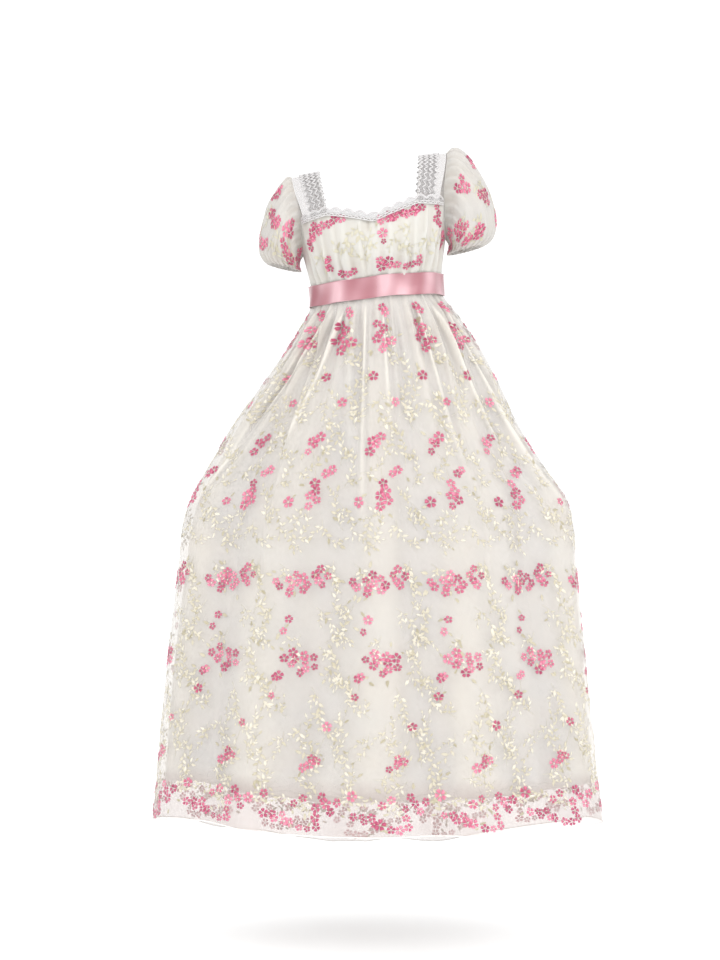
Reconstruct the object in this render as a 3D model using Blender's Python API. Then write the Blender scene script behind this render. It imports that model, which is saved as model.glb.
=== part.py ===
"""A high-waisted regency gown in its worn pose, hollow, with both sides of the skirt drawn out as when lifted.

Metres, +Z up, the front faces -Y. The origin is midway between the two shoulder tops, where the gown is held up.
Turn is the share of the way round from the centre front towards +X. Rise is the height up the leaning torso from
the waist seam. Share, on the skirt and the sleeves, runs from 0 at the top seam to 1 at the hem or cuff.
"""

import bmesh
import bpy
import numpy as np

# Wall thicknesses and clearances.
BODICE_THICK = 0.0020
SKIRT_THICK = 0.0015
LINING_THICK = 0.0015
SLEEVE_THICK = 0.0015
YOKE_THICK = 0.0012
BELT_THICK = 0.0012
LACE_THICK = 0.0010
SEAM_GAP = 0.0004

# The torso leans and tilts: the waist seam sits a little to +X of the shoulders.
SHOULDER_RISE = 0.2455
SEAM_X = 0.0155
SEAM_ROLL = np.radians(5.6)
SHOULDER_ROLL = np.radians(9.1)

# Rings of the bodice. Pinch below 0 makes a ring boxier than an ellipse, above 0 narrows it at the sides.
BODICE_COLUMNS = ("rise", "right", "left", "front", "back", "pinch", "gather")
BODICE_RINGS = (
    (-0.022, 0.1290, 0.1290, 0.1030, 0.0910, -0.06, 0.0012),
    (0.000, 0.1270, 0.1270, 0.1000, 0.0900, -0.06, 0.0011),
    (0.020, 0.1275, 0.1275, 0.1025, 0.0905, -0.07, 0.0012),
    (0.036, 0.1300, 0.1300, 0.1110, 0.0915, -0.08, 0.0028),
    (0.060, 0.1345, 0.1345, 0.1220, 0.0930, -0.10, 0.0020),
    (0.085, 0.1395, 0.1395, 0.1250, 0.0950, -0.16, 0.0012),
    (0.115, 0.1450, 0.1450, 0.1200, 0.0965, -0.28, 0.0008),
    (0.140, 0.1485, 0.1485, 0.1135, 0.0970, -0.38, 0.0008),
    (0.165, 0.1500, 0.1500, 0.1080, 0.0960, -0.42, 0.0008),
)
BODICE_GATHERS = 32
FULLNESS_DEPTH = 0.0065
FULLNESS_X = 0.060
FULLNESS_WIDTH = 0.034
FULLNESS_RISE = 0.078
FULLNESS_HEIGHT = 0.038
FLAT_SIDE_TURN = 0.06
DRAWN_FOLD_DEPTH = 0.0032
DRAWN_FOLD_TURN = 0.006
DRAWN_FOLD_WIDTH = 0.0055
DRAWN_FOLD_LENGTH = 0.034

# The neckline: a shallow dip at the centre front, straight across the back.
NECK_CENTRE_RISE = 0.1295
NECK_CORNER_RISE = 0.154
NECK_CORNER_X = 0.087
NECK_DIP_POWER = 0.75
NECK_DIP_ROUND = 0.012
YOKE_SEAM_RISE = 0.148
BACK_NECK_RISE = 0.151

# The armhole is an oval on each side of the torso.
ARM_RISE = 0.165
ARM_HALF_HEIGHT = 0.080
ARM_HALF_DEPTH = 0.056
ARM_TOP_X = 0.152

# The shoulder yokes, sheer net from the front neckline over the shoulder to the back.
YOKE_TOP_X = 0.104

# The satin belt over the waist seam.
BELT_HALF_HEIGHT = 0.020
BELT_CLEAR = 0.0024

# Rings of the skirt overlay. Left and right are the outline's distances from the waist's centre line.
SKIRT_COLUMNS = ("level", "right", "left", "front", "back", "pinch", "roll", "gather", "broad")
SKIRT_RINGS = (
    (-0.2455, 0.1270, 0.1270, 0.1000, 0.0900, -0.06, 5.6, 0.0011, 0.0000),
    (-0.2675, 0.1290, 0.1290, 0.1030, 0.0910, -0.06, 5.2, 0.0012, 0.0000),
    (-0.2900, 0.1450, 0.1370, 0.1110, 0.1000, -0.02, 4.4, 0.0034, 0.0000),
    (-0.3460, 0.1865, 0.1695, 0.1200, 0.1150, 0.08, 2.4, 0.0034, 0.0010),
    (-0.4240, 0.2325, 0.2235, 0.1300, 0.1330, 0.20, 1.0, 0.0022, 0.0025),
    (-0.5080, 0.2745, 0.2835, 0.1380, 0.1480, 0.34, 0.3, 0.0013, 0.0035),
    (-0.5850, 0.3245, 0.3275, 0.1440, 0.1580, 0.46, 0.0, 0.0008, 0.0035),
    (-0.6500, 0.3700, 0.3640, 0.1500, 0.1660, 0.52, 0.0, 0.0006, 0.0040),
    (-0.7050, 0.3835, 0.3795, 0.1545, 0.1715, 0.46, 0.0, 0.0005, 0.0045),
    (-0.7690, 0.3885, 0.3865, 0.1610, 0.1780, 0.38, 0.0, 0.0004, 0.0050),
    (-0.9250, 0.4025, 0.4035, 0.1730, 0.1920, 0.22, 0.0, 0.0003, 0.0060),
    (-1.0900, 0.4185, 0.4185, 0.1830, 0.2060, 0.12, 0.0, 0.0002, 0.0070),
    (-1.2150, 0.4320, 0.4275, 0.1930, 0.2170, 0.07, 0.0, 0.0002, 0.0075),
    (-1.2740, 0.4375, 0.4325, 0.2220, 0.2400, 0.05, 0.0, 0.0002, 0.0080),
)
SKIRT_GATHERS = 32
HEM_DROP_BACK = 0.084
HEM_LIFT = 0.022
HEM_LIFT_X = -0.345
HEM_LIFT_WIDTH = 0.10

# The lining ends higher than the overlay and hangs inside its folds.
LINING_REACH = 0.923
LINING_DROP_FRONT = 0.029
LINING_GATHERS = 16
LINING_COLUMNS = ("share", "side_in", "face_in")
LINING_INSET = (
    (0.000, 0.0040, 0.0040),
    (0.025, 0.0056, 0.0052),
    (0.080, 0.0125, 0.0130),
    (0.200, 0.0160, 0.0130),
    (0.400, 0.0230, 0.0130),
    (0.600, 0.0200, 0.0140),
    (1.000, 0.0220, 0.0175),
)

# Long folds drawn from the waist towards the lifted sides, and a few plain ones behind.
FOLD_COLUMNS = ("turn_top", "turn_end", "end_share", "height", "width_top", "width_end")
LONG_FOLDS = (
    (-0.062, -0.036, 0.30, 0.0050, 0.0090, 0.012),
    (0.034, 0.052, 0.24, -0.0036, 0.0080, 0.013),
    (0.068, 0.092, 0.26, 0.0036, 0.0090, 0.014),
    (0.145, 0.190, 0.38, 0.0048, 0.0120, 0.013),
    (0.192, 0.236, 0.40, 0.0040, 0.0100, 0.011),
    (-0.108, -0.222, 0.38, 0.0052, 0.0110, 0.012),
    (-0.165, -0.240, 0.40, 0.0052, 0.0110, 0.011),
    (0.330, 0.270, 0.42, 0.0045, 0.0130, 0.012),
    (0.430, 0.440, 0.36, -0.0040, 0.0110, 0.016),
    (0.545, 0.555, 0.42, 0.0048, 0.0120, 0.016),
    (0.660, 0.728, 0.42, 0.0045, 0.0130, 0.012),
)

# Rings of the puffed sleeves. Outer and inner are where a ring crosses the plane Y = 0.
SLEEVE_COLUMNS = ("share", "outer_x", "outer_z", "inner_x", "inner_z", "depth", "gather")
RIGHT_SLEEVE = (
    (0.00, 0.1510, 0.0235, 0.1492, -0.1440, 0.0560, 0.0002),
    (0.07, 0.1600, 0.0290, 0.1530, -0.1480, 0.0620, 0.0016),
    (0.20, 0.1800, 0.0250, 0.1550, -0.1530, 0.0720, 0.0022),
    (0.36, 0.2080, -0.0050, 0.1560, -0.1570, 0.0780, 0.0014),
    (0.52, 0.2330, -0.0480, 0.1562, -0.1605, 0.0800, 0.0010),
    (0.67, 0.2450, -0.0920, 0.1560, -0.1640, 0.0780, 0.0013),
    (0.79, 0.2460, -0.1220, 0.1556, -0.1675, 0.0715, 0.0020),
    (0.90, 0.2375, -0.1450, 0.1552, -0.1705, 0.0590, 0.0018),
    (0.96, 0.2280, -0.1535, 0.1552, -0.1722, 0.0480, 0.0012),
    (1.00, 0.2205, -0.1570, 0.1556, -0.1732, 0.0390, 0.0007),
)
LEFT_SLEEVE = (
    (0.00, -0.1495, -0.0245, -0.1285, -0.1770, 0.0560, 0.0002),
    (0.07, -0.1560, -0.0255, -0.1320, -0.1808, 0.0620, 0.0015),
    (0.20, -0.1690, -0.0380, -0.1345, -0.1850, 0.0710, 0.0021),
    (0.36, -0.1845, -0.0590, -0.1355, -0.1890, 0.0765, 0.0013),
    (0.52, -0.1985, -0.0840, -0.1357, -0.1925, 0.0785, 0.0010),
    (0.67, -0.2070, -0.1190, -0.1355, -0.1960, 0.0770, 0.0013),
    (0.79, -0.2110, -0.1500, -0.1351, -0.1995, 0.0705, 0.0020),
    (0.90, -0.2085, -0.1760, -0.1347, -0.2030, 0.0590, 0.0018),
    (0.96, -0.2010, -0.1880, -0.1347, -0.2048, 0.0480, 0.0012),
    (1.00, -0.1950, -0.1925, -0.1351, -0.2058, 0.0390, 0.0007),
)
SLEEVE_GATHERS = 12

# Lace trims.
NECK_LACE_BELOW = 0.007
NECK_LACE_ABOVE = 0.004
NECK_LACE_STAND = 0.0026
NECK_SCALLOP_HEIGHT = 0.006
NECK_SCALLOPS = 12
STRAP_LACE_WIDTH = 0.60
STRAP_LACE_STAND = 0.0008
STRAP_ZIGZAG_PITCH = 0.0125
STRAP_ZIGZAG_DEPTH = 0.0035

# How finely the pieces are faceted.
POINTS_PER_GATHER = 4
BODICE_ROWS = (0.0, 0.14, 0.38, 0.68, 1.0)
SKIRT_ROWS = (0.0, 0.021, 0.044, 0.10, 0.17, 0.25, 0.33, 0.40, 0.45, 0.55, 0.75, 0.943, 1.0)
LINING_ROWS = (0.0, 0.030, 0.10, 0.25, 0.45, 1.0)
SLEEVE_ROWS = (0.0, 0.07, 0.20, 0.38, 0.58, 0.77, 0.90, 0.97, 1.0)
YOKE_ACROSS = (0.0, 0.2, 0.4, 0.6, 0.8, 0.991)


def smooth(table, names, name, at):
    """The named column at places in the first column, on a smooth curve through the rows."""
    x = np.array([row[0] for row in table])
    y = np.array([row[names.index(name)] for row in table])
    if x[0] > x[-1]:
        x, y = x[::-1], y[::-1]
    slope = np.gradient(y, x)
    at = np.clip(at, x[0], x[-1])
    i = np.clip(np.searchsorted(x, at) - 1, 0, len(x) - 2)
    span = x[i + 1] - x[i]
    t = (at - x[i]) / span
    level = y[i] * (1 + 2 * t) * (1 - t) ** 2 + y[i + 1] * t * t * (3 - 2 * t)
    return level + span * (slope[i] * t * (1 - t) ** 2 - slope[i + 1] * t * t * (1 - t))


def quarter(reach, depth, pinch, steps):
    """Sideways and outward distances of a quarter ring, at even steps from its centre line to its side."""
    angle = np.linspace(0, np.pi / 2, 240)
    side = reach * np.sin(angle)
    out = depth * np.cos(angle) * (1 - pinch * np.sin(angle) ** 2)
    along = np.concatenate([[0], np.cumsum(np.hypot(np.diff(side), np.diff(out)))])
    wanted = np.linspace(0, along[-1], steps)
    return np.interp(wanted, along, side), np.interp(wanted, along, out)


class Rings:
    """Closed rings worked out from a table, looked up by turn and by the table's first column."""

    STEPS = 97
    LEVELS = 161

    def __init__(self, table, names):
        first = [row[0] for row in table]
        self.levels = np.linspace(min(first), max(first), self.LEVELS)
        sizes = {n: smooth(table, names, n, self.levels) for n in names[1:]}
        quarters = (("right", "front"), ("right", "back"), ("left", "back"), ("left", "front"))
        self.walks = np.array([
            [quarter(*entry, self.STEPS) for entry in zip(sizes[reach], sizes[depth], sizes["pinch"])]
            for reach, depth in quarters
        ])

    def at(self, turn, level):
        """X and Y of the plain ring."""
        turn, level = np.broadcast_arrays(np.asarray(turn, float) % 1.0, np.asarray(level, float))
        q = np.clip((turn * 4).astype(int), 0, 3)
        share = turn * 4 - q
        share = np.where(q % 2 == 1, 1 - share, share) * (self.STEPS - 1)
        row = (np.clip(level, self.levels[0], self.levels[-1]) - self.levels[0])
        row = row / (self.levels[1] - self.levels[0])
        i = np.clip(share.astype(int), 0, self.STEPS - 2)
        j = np.clip(row.astype(int), 0, self.LEVELS - 2)
        a, b = share - i, row - j
        found = []
        for part in (0, 1):
            w = self.walks[:, :, part]
            low = w[q, j, i] * (1 - a) + w[q, j, i + 1] * a
            high = w[q, j + 1, i] * (1 - a) + w[q, j + 1, i + 1] * a
            found.append(low * (1 - b) + high * b)
        return np.where(q < 2, found[0], -found[0]), np.where((q == 1) | (q == 2), found[1], -found[1])

    def facing(self, turn, level, step=0.003):
        """The ring's outward direction in plan."""
        ahead, behind = self.at(turn + step, level), self.at(turn - step, level)
        nx, ny = ahead[1] - behind[1], behind[0] - ahead[0]
        size = np.hypot(nx, ny)
        return nx / size, ny / size


def on_torso(x, y, rise):
    """Points given across, through and up the torso, placed in the leaning and tilted pose."""
    share = np.maximum(np.asarray(rise, float) / SHOULDER_RISE, 0)
    roll = SEAM_ROLL + (SHOULDER_ROLL - SEAM_ROLL) * share
    return np.stack(np.broadcast_arrays(
        SEAM_X * (1 - share) + x * np.cos(roll), y, rise - SHOULDER_RISE + x * np.sin(roll)), axis=-1)


def crowd(even):
    """Turns of evenly counted gathers, packed a little unevenly with every seam kept in place."""
    return even + 0.0085 * np.sin(8 * np.pi * even) + 0.0022 * np.sin(40 * np.pi * even)


def spread(turn):
    """The opposite of crowd."""
    even = turn
    for _ in range(14):
        even = turn - (crowd(even) - even)
    return even


def facing_of(surface, a, b, step_a=0.0005, step_b=0.0005):
    """The outward unit directions of a surface whose first parameter runs anticlockwise and second upward."""
    across = surface(a + step_a, b) - surface(a - step_a, b)
    along = surface(a, b + step_b) - surface(a, b - step_b)
    normal = np.cross(across, along)
    return normal / np.linalg.norm(normal, axis=-1, keepdims=True)


TORSO = Rings(BODICE_RINGS, BODICE_COLUMNS)
SKIRT = Rings(SKIRT_RINGS, SKIRT_COLUMNS)


def full_front(x, y, rise):
    """The torso ring brought forward over the bust."""
    lobe = np.exp(-((np.abs(x) - FULLNESS_X) / FULLNESS_WIDTH) ** 2)
    lobe = lobe * np.exp(-((rise - FULLNESS_RISE) / FULLNESS_HEIGHT) ** 2)
    return x, np.where(y < 0, y - FULLNESS_DEPTH * lobe, y)


def bodice(turn, rise, push=0.0, folded=1.0):
    """Points of the bodice's outer face, gathered in front, drawn in at the centre and plainer behind."""
    x, y = full_front(*TORSO.at(turn, rise), rise)
    nx, ny = TORSO.facing(turn, rise)
    gather = smooth(BODICE_RINGS, BODICE_COLUMNS, "gather", rise) * np.where(y < 0, 1.0, 0.4)
    around = (np.asarray(turn) + 0.5) % 1.0 - 0.5
    flat_side = np.clip(np.abs(np.abs(around) - 0.25) / FLAT_SIDE_TURN, 0, 1)
    deep = gather * flat_side * np.cos(2 * np.pi * BODICE_GATHERS * spread(turn))
    drawn = np.exp(-((around - DRAWN_FOLD_TURN) / DRAWN_FOLD_WIDTH) ** 2)
    drawn = drawn * np.exp(-((rise - NECK_CENTRE_RISE) / DRAWN_FOLD_LENGTH) ** 2)
    out = push + folded * (deep + DRAWN_FOLD_DEPTH * drawn)
    return on_torso(x + nx * out, y + ny * out, rise)


def torso_x(y, rise, depth_name):
    """How far out the plain torso ring lies at a given distance before or behind its middle."""
    angle = np.linspace(0, np.pi / 2, 400)
    found = []
    for one_y, one_rise in zip(np.atleast_1d(y), np.atleast_1d(rise)):
        reach, depth, pinch = (
            smooth(BODICE_RINGS, BODICE_COLUMNS, n, one_rise) for n in ("right", depth_name, "pinch"))
        out = depth * np.cos(angle) * (1 - pinch * np.sin(angle) ** 2)
        found.append(np.interp(-abs(one_y), -out, reach * np.sin(angle)))
    return np.array(found)


def armhole(side, angle):
    """Points of the armhole seam. The angle runs from its top, forward and down."""
    angle = np.atleast_1d(angle)
    y = -ARM_HALF_DEPTH * np.sin(angle)
    rise = ARM_RISE + ARM_HALF_HEIGHT * np.cos(angle)
    low = np.minimum(rise, YOKE_SEAM_RISE)
    x = np.where(y < 0, torso_x(y, low, "front"), torso_x(y, low, "back"))
    lift = np.clip((rise - YOKE_SEAM_RISE) / (ARM_RISE + ARM_HALF_HEIGHT - YOKE_SEAM_RISE), 0, 1)
    return on_torso(side * (x + (ARM_TOP_X - x) * lift ** 1.6), y, rise)


def armhole_rise(turn, otherwise):
    """The rise of the armhole's lower half where a turn falls inside it, or the other edge's rise."""
    rise = np.full(np.shape(turn), ARM_RISE)
    for _ in range(5):
        y = TORSO.at(turn, rise)[1]
        inside = np.clip(1 - (y / ARM_HALF_DEPTH) ** 2, 0, 1)
        rise = ARM_RISE - ARM_HALF_HEIGHT * np.sqrt(inside)
    return np.where(rise < YOKE_SEAM_RISE, rise, otherwise)


def front_top(turn):
    """The rise of the bodice front's upper edge: neckline, yoke seam, then the armhole."""
    x = np.abs(TORSO.at(turn, NECK_CORNER_RISE)[0])
    run = (np.hypot(x, NECK_DIP_ROUND) - NECK_DIP_ROUND) / (np.hypot(NECK_CORNER_X, NECK_DIP_ROUND) - NECK_DIP_ROUND)
    neck = (NECK_CORNER_RISE - NECK_CENTRE_RISE) * np.clip(run, 0, 1) ** NECK_DIP_POWER
    past = np.clip((x - NECK_CORNER_X) / 0.05, 0, 1)
    edge = NECK_CENTRE_RISE + neck + (YOKE_SEAM_RISE - NECK_CORNER_RISE) * past
    return armhole_rise(turn, edge)


def back_top(turn):
    """The rise of the bodice back's upper edge."""
    x = np.abs(TORSO.at(turn, BACK_NECK_RISE)[0])
    past = np.clip((x - NECK_CORNER_X) / 0.05, 0, 1)
    return armhole_rise(turn, BACK_NECK_RISE + (YOKE_SEAM_RISE - BACK_NECK_RISE) * past)


def skirt_level(share):
    top, hem = SKIRT_RINGS[0][0], SKIRT_RINGS[-1][0]
    return top + (hem - top) * np.asarray(share, float)


def hang(x, y, share, front_drop=0.0):
    """Points at ring places of the skirt, tilted with the waist, longer behind, lifted a little at the -X side."""
    level = skirt_level(share)
    roll = np.radians(smooth(SKIRT_RINGS, SKIRT_COLUMNS, "roll", level))
    front, back = (smooth(SKIRT_RINGS, SKIRT_COLUMNS, n, level) for n in ("front", "back"))
    ahead = np.clip(-y / front, 0, 1)
    drop = (front_drop * ahead ** 2 + HEM_DROP_BACK * np.clip(y / back, 0, 1) ** 2) * share
    drop = drop - HEM_LIFT * np.exp(-((x - HEM_LIFT_X) / HEM_LIFT_WIDTH) ** 2) * np.sqrt(ahead) * share ** 2
    return np.stack(np.broadcast_arrays(
        SEAM_X + x * np.cos(roll), y, level + x * np.sin(roll) - drop), axis=-1)


def skirt_folds(turn, share):
    """How far the overlay stands out of its plain ring."""
    level = skirt_level(share)
    gather, broad = (smooth(SKIRT_RINGS, SKIRT_COLUMNS, n, level) for n in ("gather", "broad"))
    deep = gather * np.cos(2 * np.pi * SKIRT_GATHERS * spread(turn))
    deep = deep * (0.78 + 0.22 * np.sin(2 * np.pi * 7 * turn + 1.1))
    deep = deep + broad * np.sin(2 * np.pi * 9 * turn + 0.9 + 1.4 * share)
    deep = deep + 0.45 * broad * np.sin(2 * np.pi * 14 * turn + 2.1 - 2.0 * share)
    for row in LONG_FOLDS:
        fold = dict(zip(FOLD_COLUMNS, row))
        run = np.clip(share / fold["end_share"], 0, 1)
        centre = fold["turn_top"] + (fold["turn_end"] - fold["turn_top"]) * run
        width = fold["width_top"] + (fold["width_end"] - fold["width_top"]) * run
        away = (turn - centre + 0.5) % 1.0 - 0.5
        fade = (1 - run * run) * np.clip((share - 0.022) / 0.05, 0, 1)
        deep = deep + fold["height"] * fade * np.exp(-(away / width) ** 2)
    return deep


def overlay(turn, up):
    """Points of the sheer embroidered skirt. Up is the share taken below zero, so that it grows upward."""
    level = skirt_level(-up)
    x, y = SKIRT.at(turn, level)
    nx, ny = SKIRT.facing(turn, level)
    out = skirt_folds(turn, -up)
    return hang(x + nx * out, y + ny * out, -up)


def lining(turn, up):
    """Points of the plain ivory lining, drawn in from the overlay's rings."""
    share = -up * LINING_REACH
    x, y = SKIRT.at(turn, skirt_level(share))
    level = skirt_level(share)
    side_in, face_in = (smooth(LINING_INSET, LINING_COLUMNS, n, -up) for n in ("side_in", "face_in"))
    reach = np.where(x > 0, *(smooth(SKIRT_RINGS, SKIRT_COLUMNS, n, level) for n in ("right", "left")))
    depth = np.where(y > 0, *(smooth(SKIRT_RINGS, SKIRT_COLUMNS, n, level) for n in ("back", "front")))
    soft = 0.0008 * np.cos(2 * np.pi * LINING_GATHERS * spread(turn))
    return hang(x * (1 - (side_in + soft) / reach), y * (1 - (face_in + soft) / depth), share,
                LINING_DROP_FRONT)


def sleeve(table, side, angle, share):
    """Points of a puffed sleeve's outer face. The angle runs from the top, forward and down."""
    sizes = {n: smooth(table, SLEEVE_COLUMNS, n, share)[..., None] for n in SLEEVE_COLUMNS[1:]}
    start = {n: smooth(table, SLEEVE_COLUMNS, n, 0.0) for n in SLEEVE_COLUMNS[1:]}
    angle = np.asarray(angle, float)
    turn_cos, turn_sin = np.cos(angle)[..., None], np.sin(angle)[..., None]

    def ring(s):
        outer = s["outer_x"] * np.array([1, 0, 0]) + s["outer_z"] * np.array([0, 0, 1])
        inner = s["inner_x"] * np.array([1, 0, 0]) + s["inner_z"] * np.array([0, 0, 1])
        up = (outer - inner) / 2
        forward = -s["depth"] * np.array([0, 1, 0])
        return (outer + inner) / 2 + up * turn_cos + forward * turn_sin, up

    flat, up = ring(sizes)
    radial = up / np.linalg.norm(up, axis=-1, keepdims=True) * turn_cos + np.array([0, -1, 0]) * turn_sin
    puff = sizes["gather"] * (1 + np.cos(SLEEVE_GATHERS * angle))[..., None] * (0.7 + 0.3 * turn_cos)
    seam = armhole(side, angle.ravel()).reshape(angle.shape + (3,)) + np.array([side * 1.5 * SEAM_GAP, 0, 0])
    hold = (np.clip(1 - np.asarray(share, float) / 0.15, 0, 1) ** 2)[..., None]
    return flat + radial * puff + (seam - ring(start)[0]) * hold


def yoke(side, across, along):
    """Points of a shoulder yoke. Across runs from the neck edge, along from the front seam to the back."""
    across, along = np.broadcast_arrays(np.asarray(across, float), np.asarray(along, float))
    seam_angle = np.arccos((YOKE_SEAM_RISE - ARM_RISE) / ARM_HALF_HEIGHT)
    arm = armhole(1, (seam_angle * (1 - 2 * along)).ravel()).reshape(along.shape + (3,))
    arm = arm if side > 0 else armhole(-1, (seam_angle * (1 - 2 * along)).ravel()).reshape(along.shape + (3,))
    lift = np.sin(np.pi * along)
    corner_y = np.where(along < 0.5, -edge_depth(NECK_CORNER_X, "front"), edge_depth(NECK_CORNER_X, "back"))
    x = NECK_CORNER_X + (YOKE_TOP_X - NECK_CORNER_X) * lift
    start_rise = np.where(along < 0.5, NECK_CORNER_RISE, BACK_NECK_RISE)
    rise = start_rise + (SHOULDER_RISE - start_rise) * lift
    neck = on_torso(side * x, corner_y * np.abs(np.cos(np.pi * along)), rise)
    point = neck + (arm - neck) * across[..., None]
    for name, sign, start in (("front", -1, along), ("back", 1, 1 - along)):
        seam_x = NECK_CORNER_X + (torso_x(ARM_HALF_DEPTH, YOKE_SEAM_RISE, name) - NECK_CORNER_X) * across
        chord = edge_depth(NECK_CORNER_X, name) * (1 - across) + ARM_HALF_DEPTH * 0.992 * across
        bow = edge_depth(seam_x, name) - chord
        point[..., 1] += sign * bow * np.clip(1 - start / 0.22, 0, 1) ** 2
    return point


def edge_depth(x, name):
    """How far before or behind its middle the torso ring lies at the height of the yoke seams."""
    rise = (NECK_CORNER_RISE + YOKE_SEAM_RISE) / 2
    reach, depth, pinch = (smooth(BODICE_RINGS, BODICE_COLUMNS, n, rise) for n in ("right", name, "pinch"))
    sine = np.clip(np.asarray(x, float) / reach, 0, 1)
    return depth * np.sqrt(1 - sine ** 2) * (1 - pinch * sine ** 2)


def yoke_facing(side, across, along):
    """The outward directions of a yoke."""
    low, high = np.clip(along - 0.01, 0, 1), np.clip(along + 0.01, 0, 1)
    p = yoke(side, across + 0.01, along) - yoke(side, across - 0.01, along)
    q = yoke(side, across, high) - yoke(side, across, low)
    normal = np.cross(q, p) * side
    return -normal / np.linalg.norm(normal, axis=-1, keepdims=True)


def add_wall(name, outer, inner, closed, material):
    """A closed wall between two grids of points, with rims at its open edges. Both faces are split the same way."""
    rows, cols = outer.shape[:2]
    shape = bmesh.new()
    o, i = ([[shape.verts.new(p) for p in row] for row in grid] for grid in (outer, inner))
    last = cols if closed else cols - 1

    def add_split(a, b, c, d):
        shape.faces.new((a, b, c))
        shape.faces.new((a, c, d))

    for r in range(rows - 1):
        for c in range(last):
            d = (c + 1) % cols
            add_split(o[r][c], o[r][d], o[r + 1][d], o[r + 1][c])
            add_split(i[r][c], i[r + 1][c], i[r + 1][d], i[r][d])
    for r, flip in ((0, 1), (rows - 1, -1)):
        for c in range(last):
            d = (c + 1) % cols
            add_split(*(i[r][c], i[r][d], o[r][d], o[r][c])[::flip])
    if not closed:
        for c, flip in ((0, 1), (cols - 1, -1)):
            for r in range(rows - 1):
                add_split(*(o[r][c], o[r + 1][c], i[r + 1][c], i[r][c])[::flip])
    if shape.calc_volume(signed=True) < 0:
        bmesh.ops.reverse_faces(shape, faces=shape.faces)
    mesh = bpy.data.meshes.new(name)
    shape.to_mesh(mesh)
    shape.free()
    mesh.materials.append(material)
    mesh.shade_smooth()
    mesh.set_sharp_from_angle(angle=np.radians(50))
    piece = bpy.data.objects.new(name, mesh)
    bpy.context.scene.collection.objects.link(piece)


def add_panel(name, surface, turns, heights, thick, material):
    """A wall whose outer face is the surface and whose inner face lies a cloth's thickness inside it."""
    outer = surface(turns, heights)
    add_wall(name, outer, outer - facing_of(surface, turns, heights) * thick, False, material)


def cloth_material(name, colour, roughness):
    material = bpy.data.materials.new(name)
    material.use_nodes = True
    shader = material.node_tree.nodes["Principled BSDF"]
    shader.inputs["Base Color"].default_value = (*colour, 1.0)
    shader.inputs["Roughness"].default_value = roughness
    shader.inputs["Metallic"].default_value = 0.0
    return material


def panel_turns(start, end, count, gap):
    """Turns of a panel's columns, its two ends drawn in by the seam gap."""
    turns = crowd(np.linspace(start, end, count + 1))
    turns[0] += gap
    turns[-1] -= gap
    return turns


def make_bodice(material):
    """The front between the side seams, and the back in two halves that meet at the centre back closure."""
    columns = BODICE_GATHERS * POINTS_PER_GATHER
    panels = (
        ("bodice_front", -0.25, 0.25, columns // 2, front_top),
        ("bodice_back_right", 0.25, 0.50, columns // 8, back_top),
        ("bodice_back_left", 0.50, 0.75, columns // 8, back_top),
    )
    for name, start, end, count, top_of in panels:
        turns = panel_turns(start, end, count, SEAM_GAP / 2 / 0.75)
        heights = BELT_HALF_HEIGHT + (top_of(turns) - BELT_HALF_HEIGHT) * np.array(BODICE_ROWS)[:, None]
        heights = np.vstack([np.full_like(turns, SEAM_GAP / 2), heights])
        add_panel(name, bodice, turns[None, :] + 0 * heights, heights, BODICE_THICK, material)


def make_skirt(name, surface, gathers, rows, thick, material):
    """A front and a back panel that meet at the side seams."""
    columns = gathers * POINTS_PER_GATHER // 2
    shares = np.array(rows)[:, None] + 0.0
    shares[0] += 0.0002
    level = skirt_level(shares)
    reach, depth = (smooth(SKIRT_RINGS, SKIRT_COLUMNS, n, level) for n in ("right", "front"))
    gap = SEAM_GAP / 2 / (4 * np.hypot(reach, depth))
    for side, start in (("front", -0.25), ("back", 0.25)):
        turns = crowd(np.linspace(start, start + 0.5, columns + 1))[None, :] + 0 * shares
        turns[:, :1] += gap
        turns[:, -1:] -= gap
        add_panel(f"{name}_{side}", surface, turns, -shares + 0 * turns, thick, material)


def make_belt(material):
    """A flat ribbon ring over the waist seam."""
    turns = np.linspace(0, 1, 48, endpoint=False)[None, :]
    rises = np.array([-BELT_HALF_HEIGHT, BELT_HALF_HEIGHT])[:, None]
    x, y = TORSO.at(turns, rises)
    nx, ny = TORSO.facing(turns, rises, 0.008)
    faces = [on_torso(x + nx * out, y + ny * out, rises) for out in (BELT_CLEAR + BELT_THICK, BELT_CLEAR)]
    add_wall("belt", faces[0], faces[1], True, material)


def make_sleeve(name, table, side, material):
    """A gathered puff from the armhole to a narrow gathered cuff."""
    count = SLEEVE_GATHERS * 3
    angles, shares = np.meshgrid(2 * np.pi * np.arange(count) / count, np.array(SLEEVE_ROWS))
    outer = sleeve(table, side, angles, shares)
    across = sleeve(table, side, angles + 0.01, shares) - sleeve(table, side, angles - 0.01, shares)
    along = sleeve(table, side, angles, np.clip(shares + 0.012, 0, 1))
    along = along - sleeve(table, side, angles, np.clip(shares - 0.012, 0, 1))
    normal = np.cross(across, along)
    middle = outer.mean(axis=1, keepdims=True)
    radial = outer - middle
    normal[0], normal[-1] = radial[0], radial[-1]
    normal *= np.sign((normal * radial).sum(axis=-1, keepdims=True))
    normal /= np.linalg.norm(normal, axis=-1, keepdims=True)
    add_wall(name, outer, outer - normal * SLEEVE_THICK, True, material)


def make_yoke(name, side, material):
    """The net from the front seam over the shoulder to the back seam."""
    across, along = np.meshgrid(np.array(YOKE_ACROSS), np.linspace(0.0015, 0.9985, 21))
    outer = yoke(side, across, along)
    add_wall(name, outer, outer - yoke_facing(side, across, along) * YOKE_THICK, False, material)


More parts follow.
